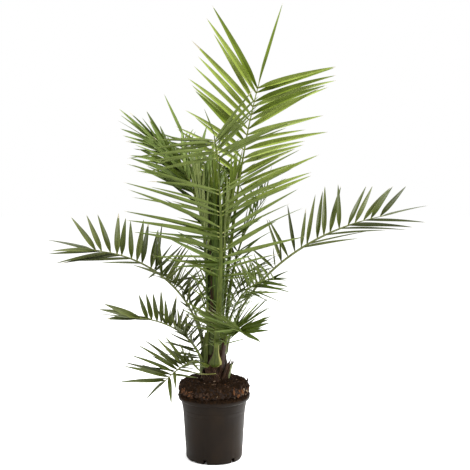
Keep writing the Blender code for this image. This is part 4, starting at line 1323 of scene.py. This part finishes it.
# %% Loose leaflets
# thin leaflets that the photo shows between the larger ones: share along the rib, the
# tip's millimetres right of the pot's axis and above the floor, and the width
LOOSE_LEAFLETS = {
    "frond_left_arch": ((0.54, -89, 652, 10.4), (0.55, -162, 685, 9.6), (0.44, -49, 596, 9.6),
        (0.45, -90, 596, 8.7), (0.49, -25, 560, 7.2), (0.37, -5, 572, 6.4), (0.32, -64, 551, 6.4),
        (0.31, 25, 542, 6.4), (0.26, -31, 504, 6.1), (0.59, -196, 548, 6.4), (0.29, -102, 480, 5.8),
        (0.34, -96, 525, 5.8), (0.38, -49, 528, 5.8), (0.24, 7, 501, 6.1), (0.51, -81, 599, 7.8),
        (0.48, -110, 611, 7.0), (0.27, -20, 531, 6.1), (0.61, -122, 655, 7.8), (0.29, -70, 516, 5.2),
        (0.41, -25, 593, 7.2), (0.6, -87, 655, 9.9), (0.52, -69, 643, 9.9), (0.56, -110, 617, 7.0)),
    "frond_inner_left": ((0.05, -53, 565, 4.3), (0.13, -71, 577, 4.3), (0.17, -77, 528, 4.1),
        (0.2, -59, 594, 4.6), (0.24, -91, 585, 4.3), (0.27, -53, 606, 4.3), (0.31, -97, 550, 4.1),
        (0.37, -73, 630, 4.6)),
    "frond_left_low": ((0.14, -146, 361, 7.0), (0.18, -158, 367, 7.0), (0.1, -158, 334, 7.0),
        (0.08, -149, 319, 7.0), (0.26, -137, 391, 6.1), (0.05, -129, 301, 6.1), (0.27, -22, 406, 6.4),
        (0.34, -31, 424, 6.4), (0.21, -17, 382, 6.4), (0.42, -49, 439, 6.4), (0.48, -66, 448, 6.4),
        (0.16, -11, 361, 6.4), (0.31, -110, 412, 5.8), (0.38, -96, 436, 6.1), (0.45, -104, 469, 9.9),
        (0.51, -122, 451, 7.5), (0.62, -169, 472, 8.1), (0.56, -151, 454, 7.0), (0.36, -81, 454, 8.1),
        (0.41, -63, 436, 7.0)),
    "frond_left_foot": ((0.73, -184, 351, 6.4), (0.59, -157, 354, 6.4), (0.48, -124, 357, 6.1),
        (0.85, -211, 327, 5.8), (0.94, -232, 285, 5.2), (0.42, -101, 357, 5.8), (0.52, -142, 370, 6.1),
        (0.67, -169, 360, 6.1), (0.35, -77, 345, 5.8), (0.84, -43, 286, 7.5), (0.72, -32, 290, 5.8),
        (0.58, -44, 327, 6.4), (0.48, -26, 318, 5.8), (0.64, -62, 315, 5.2), (0.44, -95, 333, 5.8),
        (0.76, -190, 315, 5.8), (0.4, -30, 278, 6.4), (0.53, -113, 327, 6.4)),
    "frond_right_mid": ((0.74, 86, 606, 5.8), (0.67, 77, 621, 5.2), (0.63, 66, 609, 5.2),
        (0.58, 54, 598, 4.6), (0.53, 45, 586, 4.6), (0.7, 103, 609, 5.8), (0.78, 117, 603, 5.2),
        (0.47, 37, 542, 4.1), (0.42, 31, 516, 4.1), (0.5, 123, 534, 4.3), (0.44, 112, 510, 4.3),
        (0.37, 97, 490, 4.1)),
    "frond_near_right": ((0.36, 106, 380, 3.8), (0.51, 140, 502, 5.2), (0.48, 123, 491, 4.6),
        (0.44, 163, 505, 5.2), (0.53, 163, 482, 4.6), (0.57, 111, 505, 4.1), (0.48, 140, 476, 4.1),
        (0.53, 94, 514, 4.1), (0.79, -23, 450, 9.3), (0.77, -3, 441, 9.3), (0.85, -38, 462, 8.7),
        (0.75, 14, 430, 9.3), (0.82, -15, 430, 8.1), (0.85, -60, 476, 7.5), (0.85, 140, 438, 9.9),
        (0.85, 149, 421, 8.7), (0.82, 126, 450, 8.7), (0.77, 25, 412, 8.1), (0.82, 2, 412, 9.3),
        (0.82, 17, 397, 8.7), (0.74, 37, 386, 7.0), (0.75, 77, 473, 5.8), (0.85, 135, 380, 12.2),
        (0.8, 57, 453, 8.7), (0.74, 40, 444, 8.7), (0.82, 48, 395, 8.7), (0.8, 25, 453, 8.1),
        (0.46, 74, 409, 8.7), (0.85, 120, 406, 8.7)),
    "frond_front": ((0.47, -147, 617, 9.9), (0.46, -121, 599, 9.3), (0.47, -135, 687, 12.8),
        (0.51, -103, 699, 12.8), (0.46, 118, 631, 8.1), (0.41, 159, 584, 6.1), (0.4, -57, 602, 5.2),
        (0.61, -163, 722, 9.3), (0.57, -196, 704, 8.1)),
}
# metres that they may stray to or from the camera, how far they bend up, their greens
LOOSE_DEPTH, LOOSE_BEND, LOOSE_TINTS = (-0.02, 0.02), -0.04, (0, 2, 2, 1)


# %% Grow the fronds
slots = {part["node"]: part["material_slot"] for part in frame["record"]["subparts"]}
DEEPEST = 2
# shares: how much of a tip is dry, and how many leaflets have the longer dry tip
LONG_DRY, SHORT_DRY, LONG_DRY_SHARE = 0.10, 0.03, 0.08
# how far along the rib the slender leaflets near the foot reach their whole width
SLIM_REACH = 0.55
# the closed leaf at the growing tip is wrapped in more leaflets
SPEAR_LEAVES, SPEAR_LEAN, SPEAR_LONGEST = 26, 5, 0.20
SPEAR_WIDTH, SPEAR_TAPER = 0.011, (1.1, 0.7)
grown_count = 0

for name, f in FRONDS.items():
    look, slot = LOOKS[name], slots[name]
    age = look["age"] or AGES[slot]
    plain_rib = rib_of(f)
    rib = raised(plain_rib, look["raised"])
    rng = random.Random("finer " + name)

    rib_heap = Heap()
    add_rib(rib_heap, f, look, rib)
    skin = RIB_SKINS.get(name, rib_finishes[age])
    base_skin, edge = (front_base, straw_margin) if look["spade"] else (clasping_base, dead_margin)
    rib_heap.piece(name + "_rib", [skin, base_skin, dead_margin, edge], [name], smooth=50)

    leaf_heap = Heap()
    grown = grown_leaflets(name, f, look, plain_rib, rib, rng)
    if look["between"]:
        grown += between(f, rib, grown, rng, *look["between"])
    for g in grown:
        w, n = to_light(g["d"], g["w"], g["n"], look["light"][0 if g["sign"] > 0 else 1])
        tint = rng.choices(range(TOPS), look["tints"])[0]
        # the deepest green on the side that faces away from the light is painted shade
        if g["s"] > look["deep_from"] or g["sign"] == look["painted_shade_side"]:
            tint = DEEPEST
        dry = LONG_DRY if rng.random() < LONG_DRY_SHARE else SHORT_DRY
        width = g["wide"] * look["width"] * mix((look["slim_foot"], 1), min(1, g["s"] / SLIM_REACH))
        add_leaflet(leaf_heap, rng, g["root"], g["d"], w, n, g["size"], width, tint, dry)
        grown_count += 1
    root, (along, side, up) = rib_at(rib, 1.0)
    size = f["leaf"] * f["tip_leaf"] * f["last"]
    wide = size * f["slim"] * look["end_width"]
    if look["end_aim"]:
        along, side, up, size = aimed(root, along, side, up, size, look["end_aim"])
    add_leaflet(leaf_heap, rng, root, along, side, up, size, wide, look["end_tint"], twist=8)
    for k in range(0 if f["pairs"] else SPEAR_LEAVES):
        s = 0.97 * (k / (SPEAR_LEAVES - 1)) ** 1.3
        at, axes = rib_at(rib, s)
        lean, roll = rng.uniform(1, SPEAR_LEAN), rng.uniform(-90, 90)
        d, w, n = leaflet_shape(axes, 1 if k % 2 else -1, lean, roll)
        long = min(SPEAR_LONGEST, (1 - s) * f["length"] + size * 0.8)
        wide = SPEAR_WIDTH * mix(SPEAR_TAPER, s)
        add_leaflet(leaf_heap, rng, at, d, w, n, long, wide, DEEPEST, twist=5)

    rng = random.Random("loose " + name)
    for s, x, z, wide in LOOSE_LEAFLETS.get(name, ()):
        at = rib_at(rib, s)[0]
        way = Vector((x / 1000, at.y + rng.uniform(*LOOSE_DEPTH), z / 1000)) - at
        d = way.normalized()
        w = d.cross(LIGHT_SIDE).normalized()
        tint = rng.choice(LOOSE_TINTS)
        add_leaflet(leaf_heap, rng, at, d, w, w.cross(d), way.length, wide / 1000, tint, bend=LOOSE_BEND)
        grown_count += 1
    leaf_heap.piece(name + "_leaflets", leaf_finishes[age])

    spine_heap = Heap()
    if f["pairs"]:
        add_spines(spine_heap, f, rib, rng)
    # the two lowest fronds carry leaflets down to the trunk and have no room for spines
    if spine_heap.faces:
        spine_heap.piece(name + "_spines", [spine_green, spine_tip], smooth=60)
print("leaflets grown:", grown_count)


# %% [markdown]
# Each leaf base is held by a sheath: a brown web of fibre that runs from both edges
# of the base round the trunk, and tears as the trunk swells. It is a thin closed
# sheet between the base's edge and the trunk, with a ragged outer edge.

# %% Sheets
def add_sheet(heap, rows, thick, mark=0):
    """Closed sheet of the given thickness through rows of points."""
    high, wide = len(rows), len(rows[0])
    verts = []
    for sign in (0.5, -0.5):
        for j in range(high):
            for i in range(wide):
                across = rows[j][min(i + 1, wide - 1)] - rows[j][max(i - 1, 0)]
                upward = rows[min(j + 1, high - 1)][i] - rows[max(j - 1, 0)][i]
                out = across.cross(upward)
                out = out.normalized() if out.length > 1e-12 else Vector((0, 0, 1))
                verts.append(rows[j][i] + out * thick * sign)
    back = high * wide
    faces = []
    for j in range(high - 1):
        for i in range(wide - 1):
            a, b, c, d = j * wide + i, j * wide + i + 1, (j + 1) * wide + i + 1, (j + 1) * wide + i
            faces += [(a, b, c, d), (back + d, back + c, back + b, back + a)]
    border = list(range(wide)) + [j * wide + wide - 1 for j in range(1, high)]
    border += [(high - 1) * wide + i for i in range(wide - 2, -1, -1)]
    border += [j * wide for j in range(high - 2, 0, -1)]
    for a, b in zip(border, border[1:] + border[:1]):
        faces.append((b, a, back + a, back + b))
    heap.add(verts, faces, mark)


# %% Sheaths
# how far up the base and round the trunk a web runs, and the highest foot with one
SHEATH_HIGH, SHEATH_SPREAD, SHEATH_HIGHEST = 0.045, 0.85, 0.36
# how far off the trunk it may start, and how far off it ends
SHEATH_OFF, SHEATH_CLOSE = 0.009, 0.0028
SHEATH_ROWS, SHEATH_COLUMNS, SHEATH_THICK = 12, 7, 0.0005


def sheath_point(f, rib, sign, seed, v, t):
    """A point of the web on one side of a leaf base, by shares of the way up and round."""
    s = v * SHEATH_HIGH / f["length"]
    inner = leaf_root(f, rib, s, sign, 0.46)[0]
    bearing = atan2(inner.y, inner.x - TRUNK_AXIS)
    reach = hypot(inner.y, inner.x - TRUNK_AXIS)
    spread = SHEATH_SPREAD * (1 - v) ** 1.2 * (1 + 0.45 * ripple(v * 6, seed, 0)) + 0.02
    z = inner.z - 0.006 * t + 0.003 * ripple(t * 3, v * 5, seed)
    close = lookup(TRUNK, z) + SHEATH_CLOSE
    r = mix((min(reach, close + SHEATH_OFF), close), ease(t * 1.3)) + 0.0006 * ripple(t * 7, v * 9, seed)
    return polar(r, bearing + sign * spread * t, z, TRUNK_AXIS)


sheath_heap = Heap()
for k, (name, f) in enumerate(FRONDS.items()):
    if f["pairs"] and f["foot"][1] < SHEATH_HIGHEST:
        for sign in (1, -1):
            web = partial(sheath_point, f, rib_of(f), sign, 10 * k + sign)
            add_sheet(sheath_heap, grid(SHEATH_ROWS, SHEATH_COLUMNS, web), SHEATH_THICK)
sheath_heap.piece("leaf_sheaths", [fibre], smooth=50)


# %% [markdown]
# Between the fronds' own feet the trunk is covered by more leaf bases: green tongues
# that lie on it and close round the heart, with brown strips of torn sheath running
# up among the stalks. Each is a thin closed sheet laid over the trunk's surface.

# %% Leaf bases
# bearing at the foot and top in degrees, height at the foot and top, width at both
TONGUES = ((222, 208, 0.278, 0.400, 0.024, 0.012), (246, 232, 0.322, 0.440, 0.026, 0.011),
           (212, 205, 0.345, 0.450, 0.026, 0.010), (302, 318, 0.335, 0.445, 0.022, 0.009),
           (258, 250, 0.352, 0.460, 0.020, 0.009), (10, 20, 0.345, 0.450, 0.030, 0.011),
           (58, 50, 0.330, 0.440, 0.028, 0.010), (104, 96, 0.335, 0.445, 0.028, 0.010),
           (150, 160, 0.340, 0.450, 0.030, 0.011))
PALE_TONGUES = ((204, 214, 0.262, 0.385, 0.030, 0.013), (232, 228, 0.290, 0.400, 0.016, 0.008))
# how far each kind stands off the trunk, and how deep it is cupped
TONGUE_KINDS = ((TONGUES, 0.0022, 0.002), (PALE_TONGUES, 0.0085, 0.003))
TONGUE_ROWS, TONGUE_COLUMNS, TONGUE_THICK = 14, 8, 0.0028


def tongue_point(tongue, off, cup, v, t):
    """A point over the trunk: the foot is round, and the edges are cupped towards it."""
    low, high, z_low, z_high, w_low, w_high = tongue
    z = mix((z_low, z_high), v)
    r = max(lookup(TRUNK, z), 0.009) + off
    wide = mix((w_low, w_high), ease(v * 1.5)) * sqrt(min(1, 0.08 + v * 6))
    c = 2 * t - 1
    return polar(r + cup * (1 - c * c), radians(mix((low, high), v)) + c * wide / 2 / r, z, TRUNK_AXIS)


tongue_heap = Heap()
for tint, (tongues, off, cup) in enumerate(TONGUE_KINDS):
    for tongue in tongues:
        points = grid(TONGUE_ROWS, TONGUE_COLUMNS, partial(tongue_point, tongue, off, cup))
        add_sheet(tongue_heap, points, TONGUE_THICK, tint)
tongue_heap.piece("leaf_bases", [shaded_base, front_base], smooth=50)


# %% Sheath strips
STRIPS, STRIP_ROWS, STRIP_THICK = 22, 14, 0.0006
# heights of a strip's foot and top, and the radius of their ring at heights
STRIP_HIGH = ((0.34, 0.42), (0.46, 0.80))
STRIP_RING = ((0.30, 0.030), (0.42, 0.020), (0.50, 0.021), (0.80, 0.030))


def strip_point(bearing, low, high, wide, wave, v, t):
    z = mix((low, high), v)
    r = lookup(STRIP_RING, z) + 0.002 * ripple(v * 3, wave, 0)
    a = radians(bearing + 14 * ripple(v * 2, wave, 5))
    taper = wide * (1 - 0.8 * v ** 2) * (1 + 0.5 * ripple(v * 8, wave, 9)) / 2
    return polar(r, a + (2 * t - 1) * taper / r, z, TRUNK_AXIS)


rng = random.Random(57)
strip_heap = Heap()
for k in range(STRIPS):
    bearing = 360 * k / STRIPS + rng.uniform(-8, 8)
    low, high = rng.uniform(*STRIP_HIGH[0]), mix(STRIP_HIGH[1], rng.random() ** 2)
    wide, wave = rng.uniform(0.003, 0.007), rng.uniform(0, 9)
    strip = partial(strip_point, bearing, low, high, wide, wave)
    add_sheet(strip_heap, grid(STRIP_ROWS, 2, strip), STRIP_THICK)
strip_heap.piece("sheath_strips", [fibre], smooth=50)


# %% Stalks in the heart
# unopened leaves stand upright between the fronds' stalks, folded round one another; their dark green is
# painted shade of the crown's inside over their own green
HEART_STALKS, HEART_ROWS, HEART_SHIFT = 20, 18, 0.007
HEART_FOOT, HEART_TOP = (0.38, 0.44), (0.72, 0.92)
HEART_RING = ((0.38, 0.013), (0.54, 0.022), (0.66, 0.027), (0.90, 0.036))
HEART_WIDE, HEART_THICK = (0.012, 0.009), 0.0012


def stalk_point(bearing, low, high, wave, v, t):
    z = mix((low, high), v)
    r = lookup(HEART_RING, z) + 0.003 * ripple(v * 2, wave, 3)
    a = radians(bearing + 16 * ripple(v * 1.5, wave, 7))
    wide = mix(HEART_WIDE, v) * (1 - v ** 6) / 2 + 0.0003
    c = 2 * t - 1
    fold = polar(1, a, 0) * (0.35 * wide * c * c)
    across = Vector((-sin(a), cos(a), 0)) * (c * wide)
    return polar(r, a, z, TRUNK_AXIS + HEART_SHIFT) + across - fold


rng = random.Random(91)
heart_heap = Heap()
for k in range(HEART_STALKS):
    bearing = 360 * k / HEART_STALKS + rng.uniform(-10, 10)
    low, high, wave = rng.uniform(*HEART_FOOT), rng.uniform(*HEART_TOP), rng.uniform(0, 9)
    stalk = partial(stalk_point, bearing, low, high, wave)
    add_sheet(heart_heap, grid(HEART_ROWS, 4, stalk), HEART_THICK)
heart_heap.piece("heart_stalks", [shaded_heart_green], smooth=60)


# %% [markdown]
# At the right of the trunk stands the stub of a leaf that was cut off: a pale green
# crescent, with the brown lining of its sheath torn at the end. A thin yellow strap,
# the torn edge of an old sheath, crosses the front of the trunk just above the soil.

# %% Cut stub
STUB_BEARING, STUB_LEAN = -30, Vector((0.016, -0.006, 0.058))
STUB_WIDTH = ((0, 0.0280), (0.35, 0.0250), (0.75, 0.0170), (1.0, 0.0080))
STUB_ROWS, STUB_COLUMNS = 12, 10
STUB_THICK, LINING_THICK = 0.0030, 0.0010
CRESCENT = 0.0035
TORN_FIBRES, TEAR_AT = 26, 0.80

a = radians(STUB_BEARING)
stub_out, stub_side = polar(1, a, 0), Vector((-sin(a), cos(a), 0))
stub_foot = stub_out * (TRUNK[0][1] + 0.003) + Vector((TRUNK_AXIS, 0, TRUNK[0][0]))


def stub_point(v, t):
    c = 2 * t - 1
    v *= min(TEAR_AT + 0.20 * abs(ripple(c * 2.6, 3.3, 0.5)) * 2 - 0.10 * (c > 0), 1.0)
    point = stub_foot + STUB_LEAN * v + stub_side * (c * lookup(STUB_WIDTH, v) / 2)
    return point - stub_out * (CRESCENT * c * c)


def lining_point(v, t):
    """The brown lining stands between the stub and the trunk, wider and more torn."""
    c = 2 * t - 1
    v *= 1.12 + 0.30 * ripple(c * 3.1, 8.1, 0.5) + 0.14 * c
    point = stub_foot + STUB_LEAN * v - stub_out * (0.0045 + 0.0030 * c * c)
    return point + stub_side * (c * mix((0.0150, 0.0100), v) - 0.0085 - 0.0040 * v)


stub_heap = Heap()
add_sheet(stub_heap, grid(STUB_ROWS, STUB_COLUMNS, stub_point), STUB_THICK)
# its near half is brown with old fibre, and only the far edge is pale
for k, face in enumerate(stub_heap.faces):
    centre = sum((Vector(stub_heap.verts[i]) for i in face), Vector()) / len(face)
    stub_heap.marks[k] = int((centre - stub_foot).dot(stub_side) < -0.0035)
pale_stub = rib_skin("pale_cut_base", "4b5232", "757c56")
stub_heap.piece("cut_leaf_base", [pale_stub, fibre], ["cut_stub"], smooth=50)

lining_heap = Heap()
add_sheet(lining_heap, grid(STUB_ROWS, STUB_COLUMNS, lining_point), LINING_THICK)
lining_heap.piece("stub_lining", [fibre], smooth=50)


# %% Torn fibres of the stub
rng = random.Random(77)
fray_heap = Heap()
for _ in range(TORN_FIBRES):
    c = rng.uniform(-1, 1)
    start = stub_foot + STUB_LEAN * TEAR_AT + stub_side * c * 0.005 - stub_out * (CRESCENT * c * c)
    way = STUB_LEAN.normalized() + stub_side * rng.uniform(-0.3, 0.3) + stub_out * rng.uniform(-0.2, 0.3)
    verts, faces, uvs = strand(rng, start, way, rng.uniform(0.010, 0.022), 0.0007, wander=0.1, steps=4)
    fray_heap.add(verts, faces, rng.choice((0, 1)), uvs)
fray_heap.piece("torn_fibres", thread_tints[:2], smooth=None)

# %% Old sheath strap
# bearings and heights of its two ends
STRAP_BEARINGS, STRAP_HEIGHTS = (-175, -84), (0.2590, 0.2680)
STRAP_OFF, STRAP_WIDE, STRAP_THICK, STRAP_STEPS = 0.0095, 0.0050, 0.0009, 26


def strap_point(level, t):
    z = mix(STRAP_HEIGHTS, t) + (level - 0.5) * STRAP_WIDE * (1 - 0.7 * t)
    r = lookup(TRUNK, z) + STRAP_OFF + 0.0010 * ripple(t * 5, level, 1)
    return polar(r, radians(mix(STRAP_BEARINGS, t)), z, TRUNK_AXIS)


strap_heap = Heap()
add_sheet(strap_heap, grid(2, STRAP_STEPS, strap_point), STRAP_THICK)
strap_heap.piece("sheath_strap", [rib_skin("yellow_strap", "62632f", "84844a")], smooth=60)
